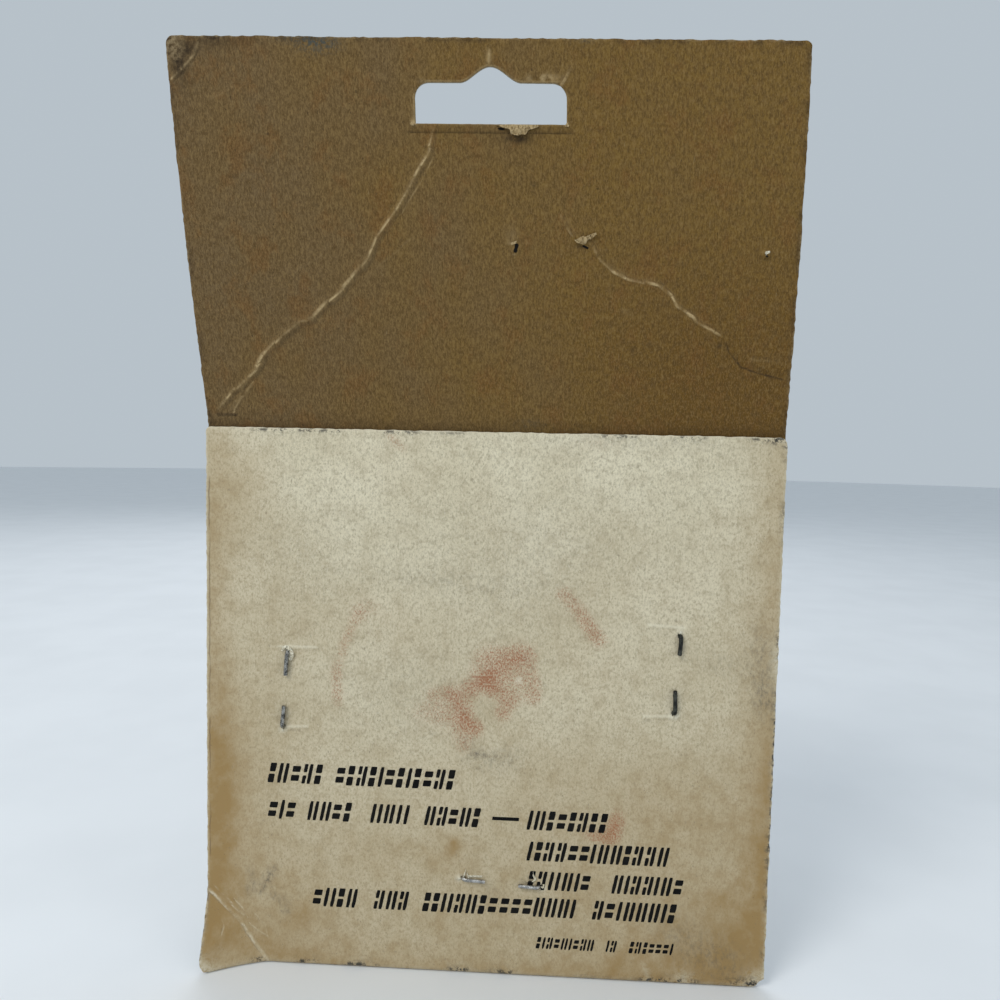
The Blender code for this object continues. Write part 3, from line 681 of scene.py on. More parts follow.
def kraft_layers(g, sheet):
    """Brown fibre colour, with painted cool light towards the left, and relief of the card's inner face."""
    u, q, _ = g.split(sheet)
    strand = g.noise(sheet, 3.0, 4.0, 0.68, 0.4, stretch=0.36)
    fine_strand = g.noise(sheet, 6.0, 3.0, 0.7, stretch=0.45)
    mottle = g.noise(sheet, 1.0, 4.0, 0.68, stretch=0.70)
    cloud = g.noise(sheet, 0.10, 3.0, stretch=0.6)
    # Greyer and cooler towards the left: painted cool light falling from the left, mixed with random tone.
    cool_light_and_tone = g.add(g.mul(u, -0.0115), g.mul(g.math("SUBTRACT", cloud, 0.5), 1.2))
    colour = g.mix(g.band(cool_light_and_tone, -0.35, 0.65), (0.186, 0.108, 0.0250), (0.152, 0.101, 0.0490))
    deep = g.mul(g.band(u, 2.0, 34.0), g.band(q, 122.0, 92.0))
    colour = g.mix(g.mul(deep, 0.88), colour, (0.134, 0.067, 0.0105))
    colour = g.coats(
        colour,
        (mottle, 0.36, 0.68, 0.50, (0.112, 0.066, 0.024)),
        (g.noise(sheet, 0.24, 5.0, 0.65, stretch=0.70), 0.50, 0.66, 0.46, (0.168, 0.074, 0.0185)),
        (strand, 0.58, 0.34, 0.66, (0.082, 0.046, 0.0140)),
        (strand, 0.50, 0.70, 0.50, (0.250, 0.160, 0.060)),
        (fine_strand, 0.46, 0.70, 0.48, (0.265, 0.175, 0.072)),
        (fine_strand, 0.44, 0.28, 0.55, (0.075, 0.044, 0.017)),
        (g.noise(sheet, 2.3, stretch=0.45), 0.715, 0.765, 0.60, (0.040, 0.024, 0.012)),
        (g.noise(sheet, 3.6, stretch=0.14), 0.72, 0.80, 0.40, (0.300, 0.215, 0.110)),
    )
    return colour, g.add(g.mul(strand, 0.7), g.add(g.mul(fine_strand, 0.4), g.mul(mottle, 0.8)))


def kraft_material():
    g = Graph("kraft_inner_face")
    sheet = g.attribute("sheet")
    colour, height = kraft_layers(g, sheet)
    pale, dirt_and_shade, wear = g.split(g.attribute("header_marks"))
    ink, hole, _ = g.split(g.attribute("header_ink"))
    rough = g.noise(sheet, 1.8, 4.0, 0.7)
    colour = g.marked(
        colour,
        (pale, rough, 0.22, 0.52, (0.520, 0.385, 0.200)),
        # dirt, and painted shade beside creases, on the slot's lip and rim, under flakes and along the flap's
        # top
        (dirt_and_shade, rough, 0.80, 0.40, (0.036, 0.023, 0.012)),
        (wear, rough, 0.36, 0.62, (0.300, 0.225, 0.125)),
        (ink, g.noise(sheet, 2.2, 4.0, 0.8), 0.38, 0.62, (0.050, 0.066, 0.066)),
    )
    # Near-black painted shade in the dents, punctures and the tear's gap.
    colour = g.coats(colour, (hole, 0.25, 0.60, None, (0.006, 0.005, 0.004)))
    return g.finish(Base_Color=colour, Roughness=0.88, Specular_IOR_Level=0.15,
                    Normal=g.bump(height, 0.00007))


def cream_material():
    g = Graph("cream_coated_face")
    sheet = g.attribute("sheet")
    red, grey, stain = g.split(g.attribute("flap_marks"))
    wear, dark, pale = g.split(g.attribute("flap_wear"))
    cloud = g.noise(sheet, 0.075, 4.0, 0.55)
    blotch = g.noise(sheet, 0.40, 4.0, 0.60, stretch=0.8)
    mottle = g.noise(sheet, 1.5, 5.0, 0.72, stretch=0.7)
    grain = g.noise(sheet, 3.8, 4.0, 0.72, 0.2, stretch=0.55)
    colour = g.coats(
        g.mix(g.band(cloud, 0.36, 0.64), (0.715, 0.650, 0.482), (0.648, 0.580, 0.416)),
        (blotch, 0.46, 0.66, 0.42, (0.470, 0.402, 0.270)),
        (mottle, 0.48, 0.64, 0.62, (0.400, 0.350, 0.240)),
        (grain, 0.48, 0.68, 0.75, (0.375, 0.325, 0.220)),
        (grain, 0.46, 0.28, 0.75, (0.790, 0.745, 0.590)),
    )
    tint = g.cut(stain, g.add(0.62, g.mul(blotch, 0.75)))
    colour = g.coats(
        g.mix(tint, colour, (0.330, 0.215, 0.085)),
        (g.noise(sheet, 2.0, stretch=0.6), 0.680, 0.740, 0.42, (0.200, 0.165, 0.110)),
        (g.noise(sheet, 4.2, 1.0, stretch=0.7), 0.700, 0.760, 0.50, (0.130, 0.105, 0.075)),
    )
    dense = g.noise(sheet, 4.2, 4.0, 0.8, stretch=0.66)
    grit = g.band(g.add(dense, g.mul(red, 0.12)), 0.50, 0.66)
    rubbed = g.mul(g.band(red, 0.02, 0.30), g.add(g.mul(red, 0.18), g.mul(grit, 0.80)))
    colour = g.mix(rubbed, colour, (0.345, 0.132, 0.060))
    smear = g.noise(sheet, 1.7, 5.0, 0.8, stretch=0.5)
    smudge = g.cut(grey, g.add(0.10, g.mul(g.band(smear, 0.42, 0.66), 0.75)))
    colour = g.marked(
        g.mix(smudge, colour, (0.120, 0.105, 0.080)),
        (wear, g.noise(sheet, 1.2, 5.0, 0.8), 0.34, 0.56, (0.600, 0.540, 0.400)),
        # dark: ink crumbs, and painted shade at the flap's side edges, beside the corner's creases and below
        # the pressed lines
        (dark, g.noise(sheet, 0.9, 4.0, 0.8), 0.46, 0.56, (0.030, 0.030, 0.028)),
    )
    u, q, _ = g.split(sheet)
    # A broken dark line just inside the flap's left edge, above the corner: painted shade of the board's
    # edge.
    along = g.noise(sheet, 0.30, 3.0, 0.6, stretch=(0.0, 1.0, 0.0))
    inset = g.add(HALF_W - 0.95, g.mul(along, 0.7))
    line = g.band(g.math("ABSOLUTE", g.add(u, inset)), 0.16, 0.03)
    present = g.band(g.noise(sheet, 0.09, stretch=(0.0, 1.0, 0.0)), 0.44, 0.52)
    present = g.mul(present, g.band(q, -14.0, -18.0))
    colour = g.mix(g.mul(g.mul(line, present), 0.55), colour, (0.120, 0.080, 0.048))
    colour = g.marked(colour, (pale, mottle, 0.28, 0.50, (0.800, 0.750, 0.590)))
    height = g.add(g.mul(mottle, 0.6), g.mul(grain, 0.6))
    return g.finish(Base_Color=colour, Roughness=g.add(0.48, g.mul(mottle, 0.28)), Specular_IOR_Level=0.25,
                    Normal=g.bump(height, 0.00004))


TICK_HALF = 25.4 / 32                       # half the pitch of the front's ticks, a sixteenth of an inch


def edge_material():
    g = Graph("board_cut_edge")
    sheet = g.attribute("sheet")
    layer = g.noise(sheet, 1.6, 4.0, 0.7, stretch=(1.0, 1.0, 9.0))
    colour = g.coats(g.mix(g.band(layer, 0.30, 0.70), (0.210, 0.165, 0.105), (0.480, 0.415, 0.300)),
                     (g.noise(sheet, 0.6, 4.0, 0.7), 0.52, 0.70, 0.7, (0.110, 0.090, 0.065)))
    return g.finish(Base_Color=colour, Roughness=0.9, Specular_IOR_Level=0.15, Normal=g.bump(layer, 0.0001))


def print_material():
    """The front's plain colour fields, with ruler ticks along both sides."""
    g = Graph("printed_front_face")
    sheet = g.attribute("sheet")
    u, q, _ = g.split(sheet)
    teal, cream, red = (0.018, 0.085, 0.110), (0.62, 0.57, 0.43), (0.42, 0.035, 0.020)
    from_middle = g.math("ABSOLUTE", u)
    panel = g.mul(g.mul(g.band(q, 84.4, 84.0), g.band(from_middle, 38.6, 38.3)), g.band(q, 5.9, 6.2))
    stripe = g.mul(g.band(q, 88.0, 88.3), g.band(q, 95.4, 95.1))
    colour = g.mix(stripe, g.mix(panel, teal, cream), red)
    tick, long_tick = (g.math("PINGPONG", g.add(q, 200.0), half) for half in (TICK_HALF, 4 * TICK_HALF))
    reach = g.add(2.2, g.mul(g.band(long_tick, 0.22, 0.18), 1.6))
    from_edge = g.math("SUBTRACT", HALF_W, from_middle)
    marks = g.mul(g.band(tick, 0.17, 0.13), g.band(g.math("SUBTRACT", reach, from_edge), 0.0, 0.15))
    marks = g.mul(marks, g.band(q, 6.0, 6.2))
    worn = g.noise(sheet, 0.8, 5.0, 0.75)
    wear, _, _ = g.split(g.attribute("flap_wear"))
    colour = g.marked(g.mix(g.mul(marks, 0.9), colour, cream), (wear, worn, 0.40, 0.58, (0.55, 0.50, 0.39)))
    colour = g.coats(colour, (g.noise(sheet, 0.16, 6.0, 0.65), 0.35, 0.75, 0.09, (0.45, 0.43, 0.36)),
                     (g.noise(sheet, 2.6, 2.0, 0.6), 0.68, 0.74, 0.6, (0.50, 0.47, 0.38)))
    return g.finish(Base_Color=colour, Roughness=g.add(0.32, g.mul(worn, 0.25)), Specular_IOR_Level=0.45,
                    Normal=g.bump(g.noise(sheet, 1.1, 4.0, 0.6), 0.00004))


# ------------------------------------------------------------ card marks

def blot(u, v, centre, radii, angle=0.0):
    """A soft elliptical patch, 1 at its middle."""
    a = math.radians(angle)
    du, dv = u - centre[0], v - centre[1]
    x, y = du * math.cos(a) + dv * math.sin(a), dv * math.cos(a) - du * math.sin(a)
    return np.exp(-((x / radii[0]) ** 2 + (y / radii[1]) ** 2))


def stroke(u, v, route, width):
    """A soft line along a route."""
    dist, _, _ = route_distance(u, v, route)
    return bump(dist, width)


# The blot tables hold strength, middle, two radii and an angle where the patch is turned.
# The line tables hold strength, width and route.

def blots(u, v, *rows):
    """Sum of soft patches: strength, middle, radii and, where it is turned, an angle."""
    return sum(row[0] * blot(u, v, row[1:3], row[3:5], *row[5:]) for row in rows)


def strokes(u, v, *rows):
    """Sum of soft lines: strength, width and route."""
    return sum(strength * stroke(u, v, route, width) for strength, width, route in rows)


RUB_LINES = [
    (0.36, 1.0, [(-20.2, 57.4), (-22.4, 53.0), (-23.7, 49.0), (-23.5, 43.5)]),
    (0.45, 1.2, [(11.6, 61.6), (13.6, 59.4), (17.2, 54.6)]),
    (0.66, 1.25, [(-2.2, 46.2), (0.0, 47.9), (0.6, 46.6), (2.2, 46.0), (3.4, 44.6), (2.6, 42.6)]),
    (0.66, 1.15, [(-4.8, 44.9), (-3.6, 43.6), (-3.4, 41.4), (-1.5, 40.1)]),
    (0.42, 1.1, [(-8.2, 45.4), (-5.4, 45.5), (-2.8, 45.6)]),
    (0.34, 1.3, [(-3.0, 39.2), (-3.2, 37.2)]),
    (0.42, 0.9, [(7.3, 49.0), (7.7, 45.0)]),
    (0.50, 1.9, [(0.2, 51.2), (2.0, 50.8), (5.2, 50.9), (1.2, 49.2), (4.8, 48.8)]),
]
RUB_BLOTS = [(0.26, 1.0, 50.8, 2.6, 2.4), (0.30, 5.8, 52.4, 2.0, 2.0), (0.24, 6.2, 46.4, 2.3, 2.8),
             (0.26, -0.4, 47.8, 2.2, 1.9), (0.22, -4.2, 42.4, 2.6, 4.4), (0.20, -8.4, 42.6, 4.4, 3.4)]
RED_BLOTS = [(0.85, 20.4, 25.0, 1.2, 2.3, -14), (0.55, 18.0, 23.5, 2.4, 0.9, -10),
             (0.18, -19.0, 58.5, 3.0, 2.0), (0.14, 16.0, 84.6, 5.0, 1.2)]
SMUDGE_LINES = [
    (0.42, 1.5, [(-2.6, 35.6), (0.6, 34.2), (3.6, 34.6), (5.0, 36.0)]),
    (0.70, 0.7, [(-1.6, 36.0), (1.0, 35.6), (3.0, 36.2)]),
    (0.95, 0.75, [(-35.8, 12.2), (-34.8, 13.6), (-33.6, 15.6)]),
    (0.55, 0.7, [(-37.6, 11.6), (-37.0, 13.6), (-37.2, 15.2)]),
    (0.60, 0.8, [(-33.6, 11.4), (-31.8, 10.4), (-31.4, 8.8)]),
]
SMUDGE_BLOTS = [(0.40, 6.0, 51.6, 0.5, 0.7), (0.30, -2.4, 38.0, 1.6, 1.0), (0.60, 42.0, 53.0, 2.2, 5.0, 10),
                (0.85, 42.6, 46.6, 1.8, 3.2), (0.28, 36.0, 51.5, 5.0, 2.2, -20),
                (0.30, -8.0, 63.0, 13, 1.6, -4), (0.20, 6.0, 69.0, 20, 7),
                (0.16, -30.0, 66.0, 9, 9), (0.45, 31.0, 7.6, 4.4, 3.4, -35),
                (0.55, 37.4, 4.4, 4.6, 3.4, -30), (0.40, 1.6, 14.0, 1.6, 1.2), (0.35, 20.5, 84.8, 14, 0.9),
                (0.22, -12.0, 46.0, 12, 8), (0.16, 4.0, 60.0, 10, 6)]
STAIN_BLOTS = [(0.20, -41.4, 4.0, 5.0, 5.6), (0.22, 38.5, 4.5, 10, 7), (0.30, -38.5, 79.0, 5.0, 7.0),
               (0.20, -41, 30.0, 3.4, 12), (0.45, -4.5, 21.3, 1.0, 1.3), (0.25, -6.0, 19.0, 4.0, 3.0)]


def flap_marks(u, v):
    """Red rubs, grey smudges and brown staining on the cream face."""
    patchy = 0.75 + 0.6 * fractal(u, v, 3.0, 71)
    red = 1.25 * patchy * (0.82 * strokes(u, v, *RUB_LINES) + blots(u, v, *RUB_BLOTS))
    red += blots(u, v, *RED_BLOTS) + 0.30 * stroke(u, v, [(-15.6, 85.2), (-13.4, 83.2)], 0.9) * patchy
    grey = strokes(u, v, *SMUDGE_LINES) + blots(u, v, *SMUDGE_BLOTS)
    stain = 0.02 + 0.13 * smooth_step(82, 46, v) + 0.36 * smooth_step(52, 4, v)
    stain += 0.20 * smooth_step(-6, 40, u) * smooth_step(75, 20, v)
    stain += 0.36 * bump(u + HALF_W - 0.6, 3.8) * smooth_step(2, 14, v) + 0.42 * bump(u - HALF_W, 4.8)
    stain += 0.17 * smooth_step(-18, -42, u) * smooth_step(84, 66, v)
    stain += 0.20 * np.clip(fractal(u, v, 3.4, 76), 0, 1) * smooth_step(34, 10, v)
    stain += 0.24 * bump(v, 2.4) * smooth_step(-40, -20, u) + 0.14 * fractal(u, v, 14, 75)
    stain += blots(u, v, *STAIN_BLOTS)
    return np.clip(np.stack([red, grey, stain], -1), 0, 1)


WEAR_BLOTS = [(0.8, HALF_W - 0.6, 1.0, 2.6, 2.2), (0.5, -HALF_W, 0, 3, 2), (0.5, 26.0, 2.2, 0.7, 1.6, 20),
              (0.7, 32.0, 1.4, 1.6, 1.1), (0.6, HALF_W, FLAP_TOP - 0.5, 1.6, 1.2),
              (0.8, HALF_W - 0.4, 52.0, 0.8, 2.6),
              (0.7, -HALF_W, 0.6, 1.8, 1.8)]
DARK_BLOTS = [(0.95, HALF_W - 1.0, FLAP_TOP - 0.9, 2.2, 0.6), (0.9, HALF_W - 2.5, 0.6, 3.6, 0.9),
              (0.5, -3.9, 15.5, 0.5, 0.2), (1.2, -8.5, 39.3, 0.20, 0.20), (1.2, -27.5, 82.0, 0.22, 0.22),
              (1.2, 26.1, 33.3, 0.2, 0.2), (1.2, -41.0, 61.0, 0.3, 0.3)]
DARK_LINES = [(1.3, 0.16, [(-31.75, 51.75), (-31.35, 51.45), (-31.3, 50.9)]),
              (0.9, 0.26, [(6.4, 15.6), (7.2, 16.0), (7.9, 15.7)])]


def flap_wear(u, q):
    """Board shown by wear at edges and folds, dark ink crumbs, painted shade at the flap's side edges, beside
    the corner's creases and below the pressed lines, and pale pressed lines.
    """
    v = -q
    side = HALF_W - np.abs(u)
    top = np.where(q < 0, FLAP_TOP - 0.3 - v, CARD_H - q)
    edge = np.minimum(side, np.maximum(top, 0))
    fold = np.abs(q)
    wear = 0.85 * bump(edge, 0.30) + 0.55 * bump(fold, 0.6) + 0.22 * stroke(u, v, CORNER_CREASE, 0.22)
    wear += blots(u, v, *WEAR_BLOTS)
    dark = 0.9 * bump(top - 0.35, 0.26) * smooth_step(0.0, 0.5, noise(u, q, 5.0, 81) + 0.1)
    dark += 0.95 * bump(fold - 0.65, 0.42) * smooth_step(0.0, 0.4, noise(u, 0 * q, 4.0, 82))
    # Painted shade in the gap at the flap's right edge, and along its left edge near the corner.
    dark += 1.8 * bump(HALF_W - u - 0.10, 0.20) * smooth_step(47, 44, v) * smooth_step(20, 26, v)
    dark += 0.6 * bump(HALF_W + u - 0.05, 0.30) * smooth_step(15, 11, v)
    dark += 0.7 * bump(side - 0.25, 0.22) * smooth_step(2, 3, u) * smooth_step(0.1, 0.5, noise(u, v, 5.0, 84))
    dark += blots(u, v, *DARK_BLOTS) + strokes(u, v, *DARK_LINES)
    broken = np.clip(0.6 + 1.2 * fractal(u, v, 1.4, 86), 0, 1)
    wobbly = u + 0.30 * fractal(u, v, 1.1, 87)
    crack = 0.50 * stroke(u, v + wobbly - u, CORNER_CRACK, 0.08)
    bright = [(0.62, 0.09, CORNER_CREASE)] + [(0.40, 0.08, route) for route in CORNER_WRINKLES]
    shadow = [(0.55, 0.10, CORNER_CREASE)] + [(0.34, 0.09, route) for route in CORNER_WRINKLES]
    pale = broken * (crack + strokes(wobbly, v, *bright)) + 1.2 * blot(u, v, (5.1, 47.6), (0.32, 0.26))
    dark += broken * strokes(wobbly + 0.16, v + 0.12, *shadow)
    for _, (fu, fv), (du, dv) in staple_feet():
        pale += 0.70 * bump(np.hypot(u - fu + 0.5 * du, v - fv + 0.5 * dv), 0.50)
    # Pale pressed lines, each with painted shade just below it.
    for u0, v0, u1, v1 in PRESSED_LINES:
        pale += 0.50 * stroke(u, v, [(u0, v0 + 0.12), (u1, v1 + 0.12)], 0.17)
        dark += 0.18 * stroke(u, v, [(u0, v0 - 0.35), (u1, v1 - 0.35)], 0.15)
    return np.clip(np.stack([wear, dark, pale], -1), 0, 1)


PALE_BLOTS = [(0.55, 2.7, 113.1, 0.35, 0.175), (0.55, 3.05, 111.75, 0.16, 0.08),
              (0.55, 38.85, 112.22, 0.32, 0.16),
              (0.30, -1.0, 137.2, 0.35, 1.0), (0.14, 2.6, 114.2, 0.9, 1.1)]
# Dirt at the top left corner and top edge, painted shadow under the torn tongue below the slot (3.2, 126.9)
# and under the tear (12.2, 112.8), and dark patches at (10.2, 122.6) and below the chip (38.85, 111.5).
DIRT_AND_SHADOW_BLOTS = [(1.10, -44.1, 136.2, 1.1, 1.7), (0.85, -42.6, 137.9, 1.2, 0.9), (0.22, -43.6, 133.4, 1.8, 1.6),
              (0.25, -39.0, 138.6, 3.4, 1.2), (1.0, 3.2, 126.9, 1.9, 0.65), (0.95, 10.2, 122.6, 0.22, 0.16),
              (0.70, 12.2, 112.8, 1.3, 0.28, -8), (0.40, 38.85, 111.5, 0.35, 0.25)]
SPECKS = [(-25.3, 118.0, 0.2), (-36.9, 121.4, 0.17), (5.6, 121.0, 0.18), (20.6, 98.6, 0.22),
          (33.4, 99.4, 0.3),
          (-5.2, 96.2, 0.2), (-30.6, 92.4, 0.2), (3.4, 124.2, 0.18), (8.4, 121.4, 0.2), (-16.8, 107.2, 0.16),
          (27.4, 101.4, 0.22)]                # dark flecks on the header: place and size


def crease_marks(x, q):
    """Pale broken fibre along the creases, painted shade beside them, and painted shade in the valley crease.
    """
    pale, shade = 0.0 * x, 0.0 * x
    for number, (route, height, width, paleness) in enumerate(CREASES):
        signed, along = crease_place(number, x, q)
        ends = smooth_step(0, 0.06, along) * smooth_step(1.0, 0.94, along)
        broken = paleness * ends * np.clip(0.80 + 0.75 * fractal(x, q, 2.0, 90 + number), 0, 1)
        if route is CREASE_RIGHT:
            broken = broken * (0.35 + 0.65 * smooth_step(0.20, 0.34, along))
        glint = np.clip(0.70 + 1.2 * fractal(x, q, 1.3, 130 + number), 0.22, 1)
        pale = pale + 1.30 * broken * glint * bump(signed + 0.03, 0.075)
        pale = pale + 0.11 * broken * bump(signed - 0.2, 0.45)
        # Painted shade on the falling side of each crease.
        shade = shade + 0.34 * paleness * ends * bump(signed - 0.60 * width, 0.34 * width)
        # A valley crease gets a narrow line of painted shade.
        if height < 0:
            shade = shade + 0.85 * ends * bump(signed + 0.1, 0.20)
    return pale, shade


def header_marks(x, q):
    """Pale broken fibre along creases, dirt and painted shade, and edge wear on the brown face."""
    pale, dirt_and_shade = crease_marks(x, q)
    slot_x, below = np.abs(x - SLOT_U), SLOT_TOP - q
    over = -below - SLOT_BAR * (1 - slot_bell(slot_x))
    inward = smooth_step(SLOT_HALF_W, SLOT_HALF_W - 1.6, slot_x)
    rim = bump(over - 0.05, 0.14) * inward
    rim = rim + bump(slot_x - SLOT_HALF_W, 0.16) * smooth_step(2.9, 3.6, below) * smooth_step(7.6, 7.2, below)
    fray = blot(x, q, (6.2, 134.7), (2.0, 0.45)) * smooth_step(-0.2, 0.3, noise(x, q, 0.6, 98))
    corners = [(0.8, SLOT_U + corner * (SLOT_HALF_W + 0.1), SLOT_TOP + SLOT_LOW + 0.1, 0.3, 0.3)
               for corner in (-1, 1)]
    pale = pale + blots(x, q, *PALE_BLOTS, *corners)
    pale = pale + 0.25 * stroke(x, q, [(19.2, 104.0), (20.0, 103.8)], 0.18)
    pale = pale + 0.42 * rim + 0.8 * fray
    pale = pale + 0.30 * bump(below + SLOT_LOW, 0.10) * smooth_step(10.6, 10.2, slot_x)
    dirt_and_shade = dirt_and_shade + 0.85 * bump(q - CUT_Q + 0.03, 0.13) * smooth_step(-39.4, -40.0, x)
    # Painted shade on the raised lip below the slot, and at the pressed line where the lip steps down.
    strip = smooth_step(7.3, 7.6, below) * smooth_step(8.6, 8.1, below) * smooth_step(12.2, 10.8, slot_x)
    dirt_and_shade = dirt_and_shade + 0.16 * strip + 0.50 * bump(below - SLOT_LINE, 0.13) * smooth_step(12.2, 11.2, slot_x)
    # Painted shade on the slot's cut top edge, and a painted shadow along the flap's top edge.
    dirt_and_shade = dirt_and_shade + 0.60 * bump(over + 0.02, 0.07) * inward + 0.3 * bump(q - FLAP_TOP, 1.2)
    dirt_and_shade = dirt_and_shade + 0.34 * bump(CARD_H - q - 0.5, 0.8) * smooth_step(-30, -36, x)
    dirt_and_shade = dirt_and_shade + blots(x, q, *DIRT_AND_SHADOW_BLOTS, *((0.8, du, dq, size, size * 1.3) for du, dq, size in SPECKS))
    side = np.minimum(HALF_W + x - header_drift(q), HALF_W - x + header_drift(q))
    edge = np.minimum(side, CARD_H - q)
    dirt_and_shade = dirt_and_shade + 0.55 * bump(edge - 0.35, 0.35) * smooth_step(-0.25, 0.25, noise(x, q, 1.7, 97))
    wear = 0.95 * bump(edge, 0.22) * smooth_step(-0.3, 0.2, noise(x, q, 1.1, 96))
    wear = wear + blots(x, q, (0.9, -44.8, 138.4, 1.2, 1.6), (0.4, HALF_W, 96, 0.6, 4))
    return np.clip(np.stack([pale, dirt_and_shade, wear], -1), 0, 1)


def header_ink(x, q):
    """Blue-grey printing ink crept round the top and bottom edges, and painted shade in the dents, punctures
    and the tear's gap.
    """
    ink = blots(x, q, (0.95, -24.6, 139.0, 2.9, 1.3), (0.35, 12.1, 139.4, 1.6, 0.5),
                (0.30, -29.0, 139.4, 2.4, 0.5), (0.25, 5.6, 87.6, 2.4, 0.8))
    # Painted shade in the pinhole, the tear's gap, the hole beside the torn tongue and the puncture.
    hole = strokes(x, q, (1.3, 0.27, [(3.18, 112.20), (3.32, 112.80)]),
                   (1.2, 0.16, [(12.9, 112.92), (13.5, 112.62)]))
    hole = hole + blots(x, q, (1.0, 0.9, 128.1, 0.55, 0.18, -6), (0.9, 38.98, 111.75, 0.2, 0.14))
    return np.clip(np.stack([ink, hole, 0 * ink], -1), 0, 1)


# ------------------------------------------------------------ card mesh

def edge_distance(pts, border):
    """Distance from each point to the nearest border point."""
    tree = KDTree(len(border))
    for index, point in enumerate(border):
        tree.insert((point[0], point[1], 0), index)
    tree.balance()
    return np.array([tree.find((p[0], p[1], 0))[2] for p in pts])


def border_edges(tris):
    """Directed edges that belong to one triangle only."""
    edges = np.concatenate([tris[:, [0, 1]], tris[:, [1, 2]], tris[:, [2, 0]]])
    known = set(map(tuple, edges))
    return np.array([e for e in map(tuple, edges) if (e[1], e[0]) not in known])


def add_vectors(mesh, name, values):
    attribute = mesh.attributes.new(name, "FLOAT_VECTOR", "POINT")
    attribute.data.foreach_set("vector", np.asarray(values, np.float32).ravel())


def mesh_piece(name, verts, faces, materials, indices=None, body=None, smooth=40):
    mesh = bpy.data.meshes.new(name)
    mesh.from_pydata([tuple(v) for v in verts], [], [tuple(int(i) for i in f) for f in faces])
    for material in materials:
        mesh.materials.append(material)
    if indices is not None:
        mesh.polygons.foreach_set("material_index", np.asarray(indices, np.int32))
    mesh.shade_smooth()
    mesh.set_sharp_from_angle(angle=math.radians(smooth))
    piece = bpy.data.objects.new(name, mesh)
    bpy.context.scene.collection.objects.link(piece)
    if body:
        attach(piece, body)
    return piece


def grid_faces(rows, count, closed=True):
    """Quads between successive rows of equal length."""
    faces = []
    for row in range(rows - 1):
        for i in range(count if closed else count - 1):
            j = (i + 1) % count
            faces.append((row * count + i, row * count + j, (row + 1) * count + j, (row + 1) * count + i))
    return faces


def tube_faces(rows, count):
    """Quads between successive closed rows, and a cap at each end."""
    first, last = tuple(range(count)), tuple(range((rows - 1) * count, rows * count))
    return grid_faces(rows, count) + [first[::-1], last]


def slab(tris, top, low):
    """Closed solid between two images of the same flat triangles."""
    n = len(top)
    faces = [tuple(t) for t in tris] + [tuple(t[::-1] + n) for t in tris]
    faces += [(a, a + n, b + n, b) for a, b in border_edges(tris)]
    return np.concatenate([top, low]), faces


def join_parts(parts):
    """Several meshes, each points and faces, as one."""
    faces, start = [], 0
    for points, polygons in parts:
        faces += [tuple(int(i) + start for i in f) for f in polygons]
        start += len(points)
    return np.concatenate([points for points, _ in parts]), faces


EDGE_CRUSH, CRUSH_REACH = 0.42, 0.14        # share of the thickness lost at a cut edge, and how far in
PRINT_FROM = 0.55                           # the front's print begins this far above the fold


def make_card():
    """The folded board: flap, front and header in one sheet."""
    pts, tris = sheet_triangles()
    tris = wound(pts, tris, -1)
    borders = border_edges(tris)
    u, q = pts[:, 0], pts[:, 1]
    mid, normal = sheet_frame(u, q)
    worn = edge_distance(pts, pts[np.unique(borders)])
    half = BOARD_T / 2 * (1 - EDGE_CRUSH * bump(worn, CRUSH_REACH))
    sides = [to_world(mid + way * normal * half[:, None]) for way in (1, -1)]
    n = len(pts)
    walls = np.stack([borders[:, 1], borders[:, 0], borders[:, 0] + n, borders[:, 1] + n], 1)
    faces = [tuple(t) for t in tris] + [tuple(t[::-1] + n) for t in tris] + [tuple(w) for w in walls]
    fronts = np.where(q[tris].mean(1) < PRINT_FROM, 0, 1)
    indices = np.concatenate([fronts, np.full(len(tris), 2), np.full(len(walls), 3)])
    card = mesh_piece("hang_card_board", np.concatenate(sides), faces,
                      [cream_material(), print_material(), kraft_material(), edge_material()],
                      indices, "card_pack")
    add_vectors(card.data, "sheet", np.stack([np.tile(u, 2), np.tile(q, 2), np.repeat([0.0, 1.0], n)], -1))
    x = u + header_drift(q)
    for name, marks in (("flap_marks", flap_marks(u, -q)), ("flap_wear", flap_wear(u, q)),
                        ("header_marks", header_marks(x, q)), ("header_ink", header_ink(x, q))):
        add_vectors(card.data, name, np.tile(marks, (2, 1)))
    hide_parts("hang_card")


# ------------------------------------------------------------ things on the card's faces

def viewer_face(u, q, height=0.0):
    """Points on the side of the sheet seen from the flap side, raised by a height."""
    mid, normal = sheet_frame(u, q)
    outward = normal * np.where(q < 0, 1.0, -1.0)[..., None]
    return mid + outward * (BOARD_T / 2 + np.asarray(height))[..., None]


PRINT_ROWS = [                              # low v, height, slant, spans of u for each word
    (30.0, 3.2, [(-34.6, -26.0), (-23.8, -4.4)]),
    (24.1, 3.1, [(-34.6, -30.1), (-28.2, -20.4), (-18.1, -11.7), (-9.5, 0.3), (6.7, 20.2)]),
    (19.1, 3.1, [(6.8, 28.8)]),
    (14.4, 3.0, [(6.9, 17.6), (20.2, 30.7)]),
    (10.0, 3.1, [(-27.3, -19.7), (-17.4, -11.8), (-9.6, 14.9), (17.3, 30.4)]),
    (4.8, 1.9, [(8.6, 18.2), (19.6, 21.6), (23.2, 30.2)]),
]
PRINT_SLANT = 0.20
INK_HEIGHT = 0.018
INK_SUNK = 0.05


